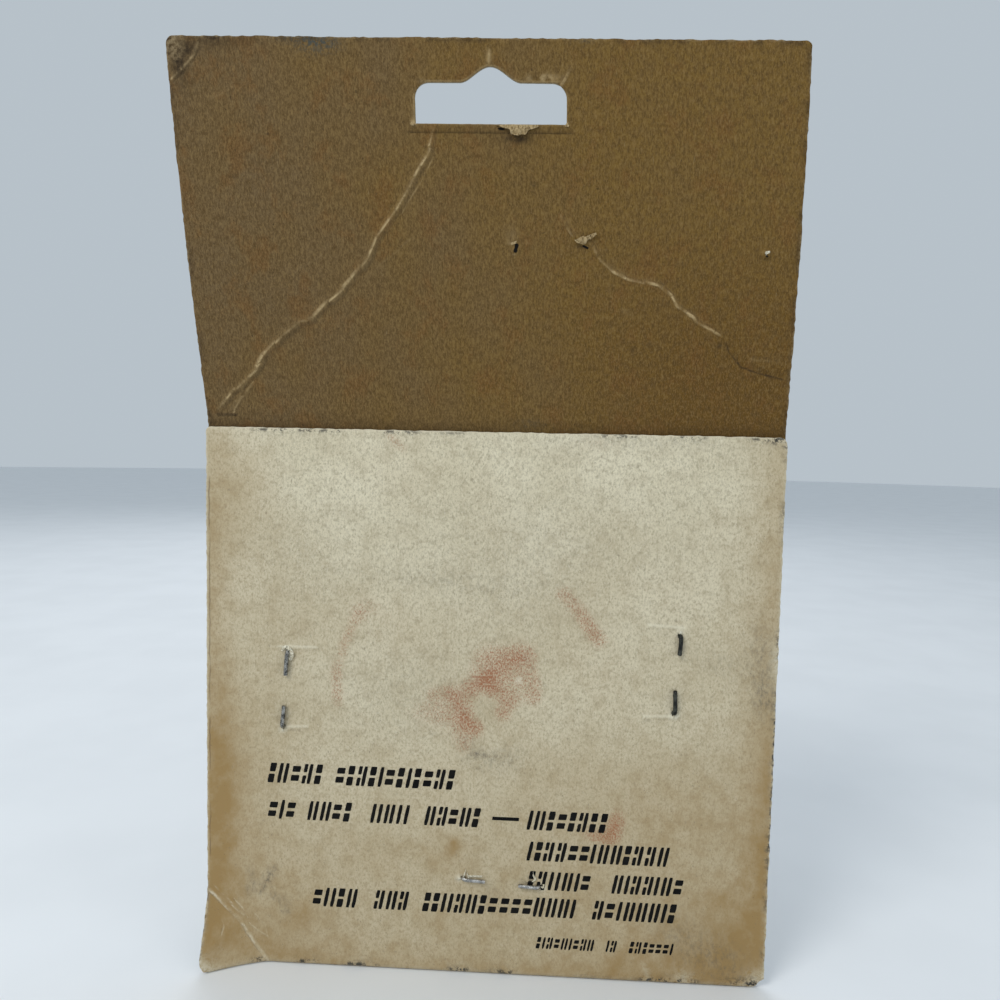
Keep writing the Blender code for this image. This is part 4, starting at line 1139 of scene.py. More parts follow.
def ink_bar(u0, v0, width, height, slant, lift=0.0):
    """Outline of a slanted bar of ink raised from its row's base line, edges slightly uneven."""
    rows = 7
    vs = np.linspace(lift, lift + height, rows)
    rough = RNG.uniform(-0.025, 0.025, (2, rows))
    left = u0 + slant * vs + rough[0]
    right = u0 + width + slant * vs + rough[1]
    left[[0, -1]] += 0.07
    right[[0, -1]] -= 0.07
    us = np.concatenate([left, right[::-1]])
    return us, np.concatenate([v0 + vs, v0 + vs[::-1]])


SIGNS = [       # width, then bars: start and width in millimetres, height and lift as shares of the row's
    (0.56, [(0, 0.56, 1, 0)]),
    (1.25, [(0, 1.25, 0.30, 0.12), (0, 1.25, 0.30, 0.58)]),
    (1.35, [(0, 0.56, 0.42, 0), (0, 0.56, 0.42, 0.58), (0.79, 0.56, 1, 0)]),
    (1.45, [(0, 0.56, 1, 0), (0.89, 0.56, 1, 0)]),
    (0.95, [(0, 0.95, 0.44, 0), (0, 0.95, 0.44, 0.56)]),
]
FULL_SIGN = 3.1                             # row height at which a sign has its full width
SIGN_GAP = (0.46, 0.60)
PRINT_DASH = (1.3, 25.4, 4.2, 0.55, 0.1)    # u, v, width, height and slant of the lone dash


def ink_sign(u, low, height, small):
    """One plain sign of bars or dashes that stands for no letter; returns its bars and width."""
    width, bars = SIGNS[RNG.integers(0, len(SIGNS))]
    return [ink_bar(u + start * small, low, wide * small, tall * height, PRINT_SLANT, lift * height)
            for start, wide, tall, lift in bars], width * small


def ink_material():
    g = Graph("printing_ink")
    sheet = g.attribute("sheet")
    worn = g.noise(sheet, 3.4, 4.0, 0.75, stretch=0.5)
    shade = g.band(g.noise(sheet, 0.25, 3.0), 0.3, 0.7)
    colour = g.coats(g.mix(shade, (0.0030, 0.0030, 0.0030), (0.0070, 0.0068, 0.0062)),
                     (worn, 0.66, 0.74, 0.75, (0.200, 0.175, 0.125)))
    return g.finish(Base_Color=colour, Roughness=g.add(0.60, g.mul(worn, 0.25)), Specular_IOR_Level=0.12)


def make_print():
    """Rows of plain slanted bars where the card's back carries its small print."""
    bars = []
    for low, height, words in PRINT_ROWS:
        small = height / FULL_SIGN
        for start, end in words:
            u = start
            while u < end - 0.9 * small:
                parts, width = ink_sign(u, low, height, small)
                bars += parts
                u += width + RNG.uniform(*SIGN_GAP) * small
    bars.append(ink_bar(*PRINT_DASH))
    n = len(bars[0][0])
    rings = np.array([np.stack(bar, 1) for bar in bars])
    flat = np.concatenate([rings, rings], axis=1).reshape(-1, 2)
    heights = np.tile(np.repeat([INK_HEIGHT, -INK_SUNK], n), len(bars))
    verts = viewer_face(flat[:, 0], -flat[:, 1], heights)
    faces = []
    for start in range(0, 2 * n * len(bars), 2 * n):
        for i in range(n // 2 - 1):
            a, b, c, d = i, i + 1, n - 2 - i, n - 1 - i
            faces.append((start + a, start + d, start + c, start + b))
            faces.append((start + n + a, start + n + b, start + n + c, start + n + d))
        for i in range(n):
            j = (i + 1) % n
            faces.append((start + i, start + j, start + n + j, start + n + i))
    piece = mesh_piece("printed_lines", to_world(verts), faces, [ink_material()], None, "card_pack")
    add_vectors(piece.data, "sheet", [(u, -v, 0) for u, v in flat])


# Shape, finish and reach of each staple: wire radius, lumpiness and the two visible leg lengths
STAPLE_FINISH = {
    "staple_left": (0.335, 0.05, (3.95, 4.30)),
    "staple_right": (0.330, 0.15, (4.15, 3.40)),
    "staple_bottom": (0.290, 0.03, (4.05, 3.75)),
}
FLANGE_FRONT = PANEL_Y + BOARD_T / 2 + 0.7      # front face of the pocket's flange


STAPLE_BEND = 0.55                          # radius of the wire's bends
WIRE_SIDES = 14
STAPLE_LOOKS = {                            # patch band, dark, pale; flecks; metallic; roughness low and span
    "staple_left": ((0.38, 0.60), (0.060, 0.060, 0.058), (0.360, 0.355, 0.335),
                    (0.54, 0.66, 0.70, (0.480, 0.475, 0.450)), 0.85, (0.12, 0.30)),
    "staple_right": ((0.42, 0.62), (0.009, 0.010, 0.008), (0.058, 0.060, 0.048),
                     (0.58, 0.70, 0.6, (0.160, 0.160, 0.150)), 0.55, (0.30, 0.35)),
    "staple_bottom": ((0.40, 0.62), (0.300, 0.295, 0.285), (0.560, 0.555, 0.540),
                      (0.62, 0.72, 0.5, (0.100, 0.080, 0.060)), 0.95, (0.16, 0.25)),
}


def sweep(path, radii):
    """A closed tube along points, with a row of radii for each point."""
    path = np.asarray(path, float)
    tangent = np.gradient(path, axis=0)
    tangent /= np.linalg.norm(tangent, axis=1, keepdims=True)
    up = np.array([0.0, 0.0, 1.0]) if abs(tangent[0][2]) < 0.9 else np.array([1.0, 0.0, 0.0])
    across = np.cross(tangent[0], up)
    rings, sides = radii.shape
    verts = []
    for point, along, row in zip(path, tangent, radii):
        across = across - along * np.dot(across, along)
        across /= np.linalg.norm(across)
        other = np.cross(along, across)
        for k in range(sides):
            angle = 2 * math.pi * k / sides
            verts.append(point + row[k] * (math.cos(angle) * across + math.sin(angle) * other))
    return np.array(verts), tube_faces(rings, sides)


def staple_material(name):
    g = Graph(name + "_wire")
    where = g.object_place()
    patch, fine = g.noise(where, 1.1, 4.0, 0.65), g.noise(where, 6.0, 4.0, 0.7)
    patches, dark, pale, flecks, metal, (low, span) = STAPLE_LOOKS[name]
    colour = g.coats(g.mix(g.band(patch, *patches), dark, pale), (fine, *flecks))
    bumps = g.bump(g.add(fine, g.mul(patch, 1.4)), 0.00005)
    return g.finish(Base_Color=colour, Metallic=metal, Roughness=g.add(low, g.mul(fine, span)), Normal=bumps)


def staple_route(wire, legs):
    """Middle line of a clinched staple: place along the crown, and depth."""
    straight = CROWN / 2 - STAPLE_BEND
    front = FLANGE_FRONT + wire - 0.02
    rest = -wire - 0.09
    half = []
    for side, reach in zip((-1, 1), legs):
        tip = CROWN / 2 + 0.3 - reach
        ends = [(side * (tip + (straight - tip) * i / 14), rest + 0.04 * math.cos(math.pi * i / 14))
                for i in range(15)]
        for depth, start in ((rest + STAPLE_BEND, -80), (front - STAPLE_BEND, 0)):
            ends += [(side * s, y) for s, y in arc(straight, depth, STAPLE_BEND, start, start + 80, 7)]
        half.append(ends)
    return half[0] + [(s, front) for s in np.linspace(-straight, straight, 19)] + half[1][::-1]


def make_staples():
    around = np.cos(2 * math.pi * np.arange(WIRE_SIDES) / WIRE_SIDES) * 0.8
    for number, name in enumerate(STAPLES):
        (u, v), (du, dv) = staple_axes(name)
        wire, lumps, legs = STAPLE_FINISH[name]
        path = []
        for s, y in staple_route(wire, legs):
            sway = lumps * math.sin(0.55 * s + 2.1 * number) if y < 0 else 0.0
            path.append((u + s * du - sway * dv, y, v + s * dv + sway * du))
        radii = np.array([wire * (1 + lumps * noise(np.full(WIRE_SIDES, i * 0.75), around, 1.0, 300 + number))
                          for i in range(len(path))])
        for end, near in ((0, 1), (-1, -2)):
            radii[end] *= 0.42
            radii[near] *= 0.94
        verts, faces = sweep(path, radii)
        verts[:WIRE_SIDES] += (np.array(path[1]) - np.array(path[0])) * 0.72
        verts[-WIRE_SIDES:] += (np.array(path[-2]) - np.array(path[-1])) * 0.72
        piece = mesh_piece(name + "_wire", to_world(verts), faces, [staple_material(name)], None,
                           "card_pack", 60)
        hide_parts(name)


def lump(outline, height, seed, step=0.13, roughness=0.3):
    """A closed ragged flake on the viewer's face; its height is a number or a function of (u, q)."""
    pts, tris = plate([ragged_outline(list(outline), step, 0.05, seed)], step, seed, 0.7, 1e-6)
    u, q = pts[:, 0], pts[:, 1]
    rough = 1 + roughness * noise(u, q, 0.35, seed + 1) + roughness * noise(u, q, 0.16, seed + 2)
    rise = (height(u, q) if callable(height) else height) * rough
    verts, faces = slab(tris, viewer_face(u, q, rise + 0.05), viewer_face(u, q, rise - 0.13))
    return verts, faces, np.concatenate([pts, pts])


def fibre_material():
    g = Graph("torn_fibre")
    sheet = g.attribute("sheet")
    tuft = g.noise(sheet, 3.0, 5.0, 0.75, stretch=0.6)
    hair = g.noise(sheet, 8.0, 3.0, 0.7, stretch=0.3)
    colour = g.coats(g.mix(g.band(tuft, 0.36, 0.62), (0.170, 0.110, 0.045), (0.520, 0.380, 0.195)),
                     (hair, 0.45, 0.68, 0.6, (0.660, 0.520, 0.310)))
    return g.finish(Base_Color=colour, Roughness=0.92, Specular_IOR_Level=0.1,
                    Normal=g.bump(g.add(tuft, hair), 0.00016))


def paper_material():
    g = Graph("torn_cream_paper")
    tuft = g.noise(g.attribute("sheet"), 3.4, 4.0, 0.7)
    colour = g.mix(g.band(tuft, 0.36, 0.64), (0.520, 0.460, 0.330), (0.800, 0.760, 0.620))
    return g.finish(Base_Color=colour, Roughness=0.85, Specular_IOR_Level=0.15, Normal=g.bump(tuft, 0.00010))


def on_header(places):
    """Card-space x and height as flat-sheet u and q."""
    return [(x - float(header_drift(q)), q) for x, q in places]


TONGUE = [                                  # x, and distance below the slot's lower edge
    (0.2, 0.15), (1.2, 0.55), (2.0, 0.75), (2.7, 1.45), (3.3, 1.55), (3.9, 1.20), (4.9, 0.80), (6.1, 0.35),
    (6.0, 0.05), (3.6, 0.02), (1.6, 0.04),
]
TEAR = [(11.5, 113.75), (11.9, 113.35), (12.9, 113.15), (13.6, 113.55), (14.8, 114.45), (14.6, 114.75),
        (13.2, 114.25), (12.2, 113.95)]
FUZZ = [(2.4, 113.2), (2.7, 112.8), (3.0, 112.95), (3.3, 113.05), (3.35, 113.5), (2.9, 113.35)]
CHIP = [(38.55, 112.2), (38.9, 112.02), (39.25, 112.15), (39.2, 112.36), (38.75, 112.38)]
SHREDS = [                                  # height, seed, step, roughness and outline (u, q) on the flap
    (0.24, 431, 0.1, 0.6, [(-31.35, -52.0), (-30.9, -51.8), (-30.55, -51.2), (-30.45, -50.5), (-30.7, -49.9),
                           (-31.0, -49.75), (-31.1, -50.3), (-30.95, -50.9), (-31.1, -51.4)]),
    (0.15, 433, 0.1, 0.6, [(-32.2, -51.9), (-31.7, -52.15), (-31.45, -51.95), (-31.9, -51.6), (-32.1, -51.2),
                           (-32.3, -51.4)]),
    (0.05, 432, 0.12, 0.8, [(-2.4, -15.9), (-1.4, -15.95), (-0.2, -16.0), (0.0, -16.3), (-1.2, -16.35),
                            (-2.6, -16.2)]),
]
SPIKES = [                                  # foot (u, v), lean and height
    (-3.1, 15.9, 0.35, 1.5), (-2.3, 15.8, -0.2, 1.0), (8.3, 15.9, -0.35, 1.5), (7.9, 15.7, 0.5, 1.0),
]


def brown_flakes():
    """Torn board: under the slot and at its corners, at the tear and at a small dent."""
    edge = SLOT_TOP + SLOT_LOW
    flakes = [lump(on_header((x, edge - drop) for x, drop in TONGUE),
                   lambda u, q: 0.10 + 0.42 * np.clip((edge - q) / 1.5, 0, 1), 401),
              lump(on_header(TEAR), lambda u, q: 0.16 + 0.10 * (u - 12) / 3, 402, 0.1, 0.5)]
    for corner in (-1, 1):
        x = SLOT_U + corner * SLOT_HALF_W + corner * 0.2
        dot = on_header((x + 0.28 * math.cos(a), edge - 0.12 + 0.24 * math.sin(a))
                        for a in np.linspace(0, 2 * math.pi, 9)[:-1])
        flakes.append(lump(dot, 0.10, 403 + corner, 0.1, 0.4))
    return flakes + [lump(on_header(FUZZ), 0.07, 405, 0.09, 0.6)]


def cream_flakes():
    """Torn paper at the staples' feet, beside the staples and at the small dent on the right."""
    flakes = []
    for name, (fu, fv), (du, dv) in staple_feet():
        seed = 420 + len(flakes)
        big = 1.0 if name == "staple_left" and fv > 45 else 0.55
        ring = []
        for i in range(9):
            a = 2 * math.pi * i / 9 + 0.4
            r = 0.34 * big * (1 + 0.5 * math.sin(3.7 * i + seed))
            ring.append((fu - du * 0.55 + r * math.cos(a), -(fv - dv * 0.55 + r * math.sin(a))))
        flakes.append(lump(ring[::-1], 0.10 * big, seed, 0.1, 0.6))
    flakes.append(lump(on_header(CHIP), 0.09, 406, 0.08, 0.3))
    for height, seed, step, rough, outline in SHREDS:
        flakes.append(lump(outline[::-1], height, seed, step, rough))
    for number, (u0, v0, lean, tall) in enumerate(SPIKES):
        spike = [(u0 - 0.16, -v0), (u0 + 0.18, -v0), (u0 + lean + 0.10, -v0 - 0.7 * tall),
                 (u0 + lean, -v0 - tall), (u0 + lean - 0.10, -v0 - 0.6 * tall)]
        flakes.append(lump(spike[::-1], 0.14, 440 + number, 0.09, 0.6))
    return flakes


def make_torn_fibre():
    """Flakes of torn board and paper, all of one colour in one piece."""
    for name, flakes, material in (("torn_fibre_brown", brown_flakes(), fibre_material()),
                                   ("torn_paper_cream", cream_flakes(), paper_material())):
        verts, faces = join_parts([flake[:2] for flake in flakes])
        flat = np.concatenate([flake[2] for flake in flakes])
        piece = mesh_piece(name, to_world(verts), faces, [material], None, "card_pack")
        add_vectors(piece.data, "sheet", np.column_stack([flat, np.zeros(len(flat))]))


# ------------------------------------------------------------ the tape's case

CASE_R = 24.5                               # tape coordinates: X towards the mouth, Y away from the card
CASE_LOW = -25.0
CASE_HALF_D = 10.0
CASE_WALL = 1.2
CASE_EDGE = 2.2
TOE_R = 2.5
HEEL_R = 12.0
SEAM_HALF = 0.15
SEAM_BEVEL = 0.12
MOUTH = (-20.6, -16.9, 6.8)                 # low, high, half width
LOCK_GAP = (-14.9, -5.7, 3.3)
BEAD_R = 15.5
BADGE_R = 14.0
SCREWS = {"case_screw_1": (-18.0, -18.5), "case_screw_2": (12.5, -21.7),
          "case_screw_3": (-13.6, 16.3), "case_screw_4": (13.6, 16.3)}


def from_tape(points):
    return np.asarray(points, float) * MM + np.array(TAPE_CENTRE)


def tape_piece(name, verts, faces, materials, indices=None, body="tape_case", smooth=35):
    piece = mesh_piece(name, from_tape(verts), faces, materials, indices, body, smooth)
    add_vectors(piece.data, "place", verts)
    return piece


def standing(flat, depth):
    """Points in the tape's X and Z stood at a depth along Y."""
    return np.column_stack([flat[:, 0], np.broadcast_to(depth, len(flat)), flat[:, 1]])


def front_steps():
    """Heights up the case's straight front with how far from the middle the wall begins."""
    steps = [(-21.6, SEAM_HALF)]
    for low, high, half in (MOUTH, LOCK_GAP):
        steps += [(low, SEAM_HALF), (low + 0.02, half), ((low + high) / 2, half), (high - 0.02, half),
                  (high, SEAM_HALF)]
    return steps + [(-4.0, SEAM_HALF), (-2.0, SEAM_HALF)]


def case_ring(inset):
    """The case's side outline drawn in by a distance, with matching points at every distance."""
    toe = arc(CASE_R - TOE_R, CASE_LOW + TOE_R, TOE_R - inset, -90, 0, 8)
    front = [(CASE_R - inset, z) for z, _ in front_steps()]
    crown = arc(0, 0, CASE_R - inset, 0, 180, 72)
    back = [(inset - CASE_R, z) for z in (-3.0, -6.0, -9.5)]
    heel = arc(HEEL_R - CASE_R, CASE_LOW + HEEL_R, HEEL_R - inset, 180, 270, 18)
    base = [(x, CASE_LOW + inset) for x in np.linspace(-9.5, 19.5, 11)]
    starts = [SEAM_HALF] * len(toe) + [y for _, y in front_steps()]
    starts += [SEAM_HALF] * (len(crown) + len(back) + len(heel) + len(base))
    return np.array(toe + front + crown + back + heel + base), np.array(starts)


def shell_rows():
    """Rows of the outer skin up to the face, then rows of the inner skin, as (ring, depth) pairs."""
    _, starts = case_ring(0)
    knee = CASE_HALF_D - CASE_EDGE
    outer = [(case_ring(SEAM_BEVEL)[0], starts), (case_ring(0)[0], starts + SEAM_BEVEL)]
    for share in (0.35, 0.7, 1.0):
        outer.append((case_ring(0)[0], starts + (knee - starts) * share))
    for angle in np.radians(np.arange(9, 91, 9)):
        depth = knee + CASE_EDGE * math.sin(angle)
        outer.append((case_ring(CASE_EDGE * (1 - math.cos(angle)))[0], depth))
    radius = CASE_EDGE - CASE_WALL
    inner = []
    for angle in np.radians(np.arange(90, -1, -18)):
        depth = knee + radius * math.sin(angle)
        inner.append((case_ring(CASE_WALL + radius * (1 - math.cos(angle)))[0], depth))
    inner.append((case_ring(CASE_WALL)[0], starts))
    return outer, inner


def chrome_material(name, base, rough_low):
    g = Graph(name)
    where = g.attribute("place")
    haze = g.noise(where, 0.12, 3.0)
    scratch = g.noise(where, 1.9, 5.0, 0.72, stretch=(0.35, 1.0, 2.6))
    pits = g.noise(where, 2.4, 3.0, 0.6)
    colour = g.coats(g.mix(g.band(haze, 0.35, 0.70), base, tuple(c * 0.86 for c in base)),
                     (pits, 0.68, 0.76, 0.75, (0.16, 0.12, 0.08)))
    worn = g.add(g.mul(g.band(haze, 0.40, 0.75), 0.05), g.mul(g.band(scratch, 0.55, 0.75), 0.16))
    normal = g.bump(g.add(scratch, g.mul(g.band(pits, 0.66, 0.76), -0.8)), 0.000006)
    return g.finish(Base_Color=colour, Metallic=1.0, Roughness=g.add(rough_low, worn), Normal=normal)


def skin_faces(rows, count, gap):
    """Quads round a ring of rows that closes on itself, left open after one row."""
    faces = []
    for face in grid_faces(rows + 1, count):
        face = tuple(i % (rows * count) for i in face)
        if {i // count for i in face} != {gap, gap + 1}:
            faces.append(face)
    return faces


def circle(x, y, radius, count=32, turned=0.0):
    angles = np.linspace(0, 2 * math.pi, count, endpoint=False) + turned
    return np.stack([x + radius * np.cos(angles), y + radius * np.sin(angles)], 1)


FACE_SHARES = (0.12, 0.4, 0.7, 1.0)         # rows from the rounded edge in to the bead
FACE_DIP = 0.12
BEAD_ROWS = ((0.7, 0.0), (0.45, 0.22), (0.0, 0.34), (-0.45, 0.22), (-0.7, -0.05), (-1.2, -0.05))
FACE_MIDDLE_R = 6.0
SEAT_R, SEAT_DEPTH = 1.9, 2.0               # sunk seats of the screw heads


def make_front_shell(material):
    """Front half of the case, with a raised bead round the badge."""
    outer, inner = shell_rows()
    edge = outer[-1][0]
    direction = edge / np.linalg.norm(edge, axis=1, keepdims=True)
    rows = list(outer)
    for share in FACE_SHARES:
        dip = FACE_DIP if share < 1.0 else 0.0
        rows.append((edge + (direction * (BEAD_R + 1.0) - edge) * share, CASE_HALF_D - dip))
    rows += [(direction * (BEAD_R + offset), CASE_HALF_D + rise) for offset, rise in BEAD_ROWS]
    rows.append((direction * FACE_MIDDLE_R, CASE_HALF_D - 0.05))
    split, count = len(rows), len(edge)
    rows += [(direction * FACE_MIDDLE_R, CASE_HALF_D - CASE_WALL)] + inner
    faces = skin_faces(len(rows), count, split - 1)
    faces.append(tuple(range((split - 1) * count, split * count)))
    faces.append(tuple(range(split * count, (split + 1) * count))[::-1])
    piece = tape_piece("case_front", np.concatenate([standing(*row) for row in rows]), faces, [material])
    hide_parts("case_front_shell")


def make_rear_shell(material):
    """Rear half of the case, with sunk seats for the screw heads."""
    outer, inner = shell_rows()
    edge = outer[-1][0]
    count = len(edge)
    rows = outer + inner
    skin = [face[::-1] for face in skin_faces(len(rows), count, len(outer) - 1)]
    parts = [(np.concatenate([standing(ring, -depth) for ring, depth in rows]), skin)]
    seats = [circle(x, z, SEAT_R, 28) for x, z in SCREWS.values()]
    pts, tris = plate([edge] + seats, 3.0, 501)
    parts.append((standing(pts, -CASE_HALF_D), tris))
    for seat in seats:
        n = len(seat)
        walls = [(i, n + i, n + (i + 1) % n, (i + 1) % n) for i in range(n)]
        sunk = [standing(seat, depth) for depth in (-CASE_HALF_D, SEAT_DEPTH - CASE_HALF_D)]
        parts.append((np.concatenate(sunk), walls + [tuple(range(n, 2 * n))]))
    verts, faces = join_parts(parts)
    faces.append(tuple(range(len(outer) * count, (len(outer) + 1) * count)))
    piece = tape_piece("case_rear", *weld(verts, faces), [material])
    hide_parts("case_rear_shell")


def weld(verts, faces, step=1e-4):
    """Join points that share a place."""
    _, first, back = np.unique(np.round(verts / step).astype(np.int64), axis=0, return_index=True,
                               return_inverse=True)
    back = np.ravel(back)
    joined = []
    for face in faces:
        ring = [int(back[i]) for i in face]
        ring = [v for i, v in enumerate(ring) if v != ring[i - 1]]
        if len(ring) > 2:
            joined.append(tuple(ring))
    return verts[first], joined


def lathe(profile, count=96, centre=(0.0, 0.0)):
    """Closed turning about an axis along Y: profile of (radius, y), first and last on the axis."""
    angles = np.linspace(0, 2 * math.pi, count, endpoint=False)
    verts = [(centre[0], profile[0][1], centre[1])]
    for radius, y in profile[1:-1]:
        verts += [(centre[0] + radius * math.cos(a), y, centre[1] + radius * math.sin(a)) for a in angles]
    verts.append((centre[0], profile[-1][1], centre[1]))
    faces = [(0, 1 + i, 1 + (i + 1) % count) for i in range(count)]
    rows = len(profile) - 2
    faces += [tuple(v + 1 for v in f[::-1]) for f in grid_faces(rows, count)]
    last, end = 1 + (rows - 1) * count, len(verts) - 1
    faces += [(end, last + (i + 1) % count, last + i) for i in range(count)]
    return np.array(verts), faces


def badge_material():
    g = Graph("badge_enamel_dial")
    where = g.attribute("place")
    x, _, z = g.split(where)
    radius = g.math("SQRT", g.add(g.mul(x, x), g.mul(z, z)))
    turn = g.add(g.mul(g.math("ARCTAN2", z, x), 180 / math.pi), 360.0)
    red, cream, dark = (0.42, 0.022, 0.014), (0.70, 0.64, 0.48), (0.020, 0.018, 0.016)
    wide, narrow = g.math("PINGPONG", turn, 15.0), g.math("PINGPONG", turn, 3.0)
    colour = g.mix(g.band(wide, 7.0, 8.0), red, (0.30, 0.014, 0.010))
    colour = g.coats(colour, (radius, 4.2, 4.05, None, cream), (radius, 3.2, 3.05, None, red))
    ring = g.mul(g.band(radius, 9.2, 9.3), g.band(radius, 12.2, 12.1))
    fine = g.mul(g.band(narrow, 0.75, 0.45), g.band(radius, 10.9, 11.0))
    bold = g.mul(g.band(wide, 1.0, 0.7), g.band(radius, 9.9, 10.0))
    ticks = g.mul(g.math("MAXIMUM", fine, bold), g.band(radius, 11.9, 11.8))
    colour = g.mix(ticks, g.mix(ring, colour, cream), dark)
    crackle = g.noise(where, 1.2, 5.0, 0.7)
    colour = g.coats(colour, (g.math("ABSOLUTE", g.math("SUBTRACT", radius, 8.7)), 0.16, 0.10, None, cream),
                     (crackle, 0.64, 0.74, 0.6, (0.12, 0.09, 0.06)))
    rough = g.add(0.14, g.mul(g.band(crackle, 0.45, 0.7), 0.25))
    return g.finish(Base_Color=colour, Roughness=rough, Coat_Weight=0.5, Normal=g.bump(crackle, 0.000015))


BADGE_TOP = CASE_HALF_D + 0.88
DIAL_R = 12.55                              # the dial ends and the chrome rim begins
DIAL_DROP, DIAL_FLAT = 0.10, 12.4           # the domed dial falls this much by this radius
RIM_ROWS = ((12.62, -0.34), (12.8, -0.34), (12.92, -0.04), (13.3, 0), (13.68, -0.06), (13.92, -0.26),
            (BADGE_R, -0.5))


def make_badge(chrome):
    profile = [(0, BADGE_TOP)]
    profile += [(r, BADGE_TOP - DIAL_DROP * (r / DIAL_FLAT) ** 2) for r in (1.5, 3, 5, 7, 9, 11, 12.2, 12.5)]
    profile += [(r, BADGE_TOP + rise) for r, rise in RIM_ROWS]
    profile += [(BADGE_R, CASE_HALF_D - 0.02), (0, CASE_HALF_D - 0.02)]
    verts, faces = lathe(profile, 120)
    far = np.hypot(verts[:, 0], verts[:, 2])
    indices = [1 if np.mean([far[i] for i in f]) > DIAL_R else 0 for f in faces]
    piece = tape_piece("badge_disc", verts, faces, [badge_material(), chrome], indices)
    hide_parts("face_badge")


def steel_material(name, base=(0.42, 0.41, 0.39)):
    g = Graph(name)
    where = g.attribute("place")
    cloud = g.noise(where, 0.8, 4.0, 0.65)
    lines = g.noise(where, 2.6, 4.0, 0.7, stretch=(0.3, 2.4, 1.0))
    colour = g.coats(g.mix(g.band(cloud, 0.35, 0.65), base, tuple(0.62 * c for c in base)),
                     (cloud, 0.62, 0.74, 0.55, (0.13, 0.075, 0.040)))
    rough = g.add(0.24, g.add(g.mul(lines, 0.16), g.mul(g.band(cloud, 0.55, 0.72), 0.25)))
    return g.finish(Base_Color=colour, Metallic=1.0, Roughness=rough, Normal=g.bump(lines, 0.000012))


SCREW_R, SHANK_R = 1.6, 0.8
SCREW_TOP, SCREW_DOME, SCREW_UNDER = -9.25, 0.22, -8.85
SLOT_CORNERS = ((-1.25, -0.2), (1.25, -0.2), (1.25, 0.2), (-1.25, 0.2))
SHANK = [(0, 7.2), (SHANK_R, 7.2), (SHANK_R, -8.3), (SCREW_R, -8.3), (SCREW_R, -8.87), (0, -8.87)]


def make_screws(steel):
    """Slotted screws in the rear shell."""
    for number, (name, (x, z)) in enumerate(SCREWS.items()):
        turn = 0.6 + 1.3 * number
        run, up = math.cos(turn), math.sin(turn)
        slot = [(x + run * a - up * b, z + up * a + run * b) for a, b in SLOT_CORNERS]
        pts, tris = plate([circle(x, z, SCREW_R, 36), slot], 0.5, 510)
        rim = np.clip((SCREW_R - np.hypot(pts[:, 0] - x, pts[:, 1] - z)) / 0.35, 0, 1)
        head = slab(tris, standing(pts, SCREW_TOP - SCREW_DOME * np.sqrt(rim)), standing(pts, SCREW_UNDER))
        verts, faces = join_parts([head, lathe(SHANK, 36, (x, z))])
        piece = tape_piece(name + "_body", verts, faces, [steel])
        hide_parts(name)


# ------------------------------------------------------------ lock, blade and hook

def rounded_box(low, high, radius, steps=4):
    """A block with rounded upright edges seen along Y and softened ends."""
    outline = []
    corners = ((high[0], low[2], -90), (high[0], high[2], 0), (low[0], high[2], 90), (low[0], low[2], 180))
    for x, z, start in corners:
        cx = x - radius if x == high[0] else x + radius
        cz = z - radius if z == high[2] else z + radius
        outline += arc(cx, cz, radius, start, start + 90, steps)
    outline = np.array(outline)
    middle = (outline.max(0) + outline.min(0)) / 2
    size = (outline.max(0) - outline.min(0)) / 2
    rows = []
    for inset, y in ((radius, low[1]), (0.3 * radius, low[1] + 0.3 * radius), (0, low[1] + radius),
                     (0, high[1] - radius), (0.3 * radius, high[1] - 0.3 * radius), (radius, high[1])):
        rows.append(standing(middle + (outline - middle) * (1 - inset / size), y))
    return np.concatenate(rows), tube_faces(len(rows), len(outline))


def plastic_material(name, base, pale):
    g = Graph(name)
    where = g.attribute("place")
    grain, wear = g.noise(where, 3.5, 4.0, 0.7), g.noise(where, 0.9, 4.0, 0.65)
    colour = g.coats(g.mix(g.band(grain, 0.35, 0.7), base, tuple(1.6 * c for c in base)),
                     (wear, 0.58, 0.72, 0.45, pale))
    return g.finish(Base_Color=colour, Roughness=g.add(0.34, g.mul(wear, 0.30)),
                    Normal=g.bump(grain, 0.00002))


PAD_LOW, PAD_HIGH, PAD_BACK, PAD_HALF = -12.0, -5.0, 24.8, 5.0
PAD_RISE = 1.97                             # how far the pad stands out at its highest
PAD_ROUND = 0.9                             # radius of its two sides
STEM_BOX = ((22.0, -3.0, -11.0), (25.4, 3.0, -6.0), 0.3)
LEG_BOX = ((21.0, -5.0, -13.0), (23.0, 5.0, -5.0), 0.4)


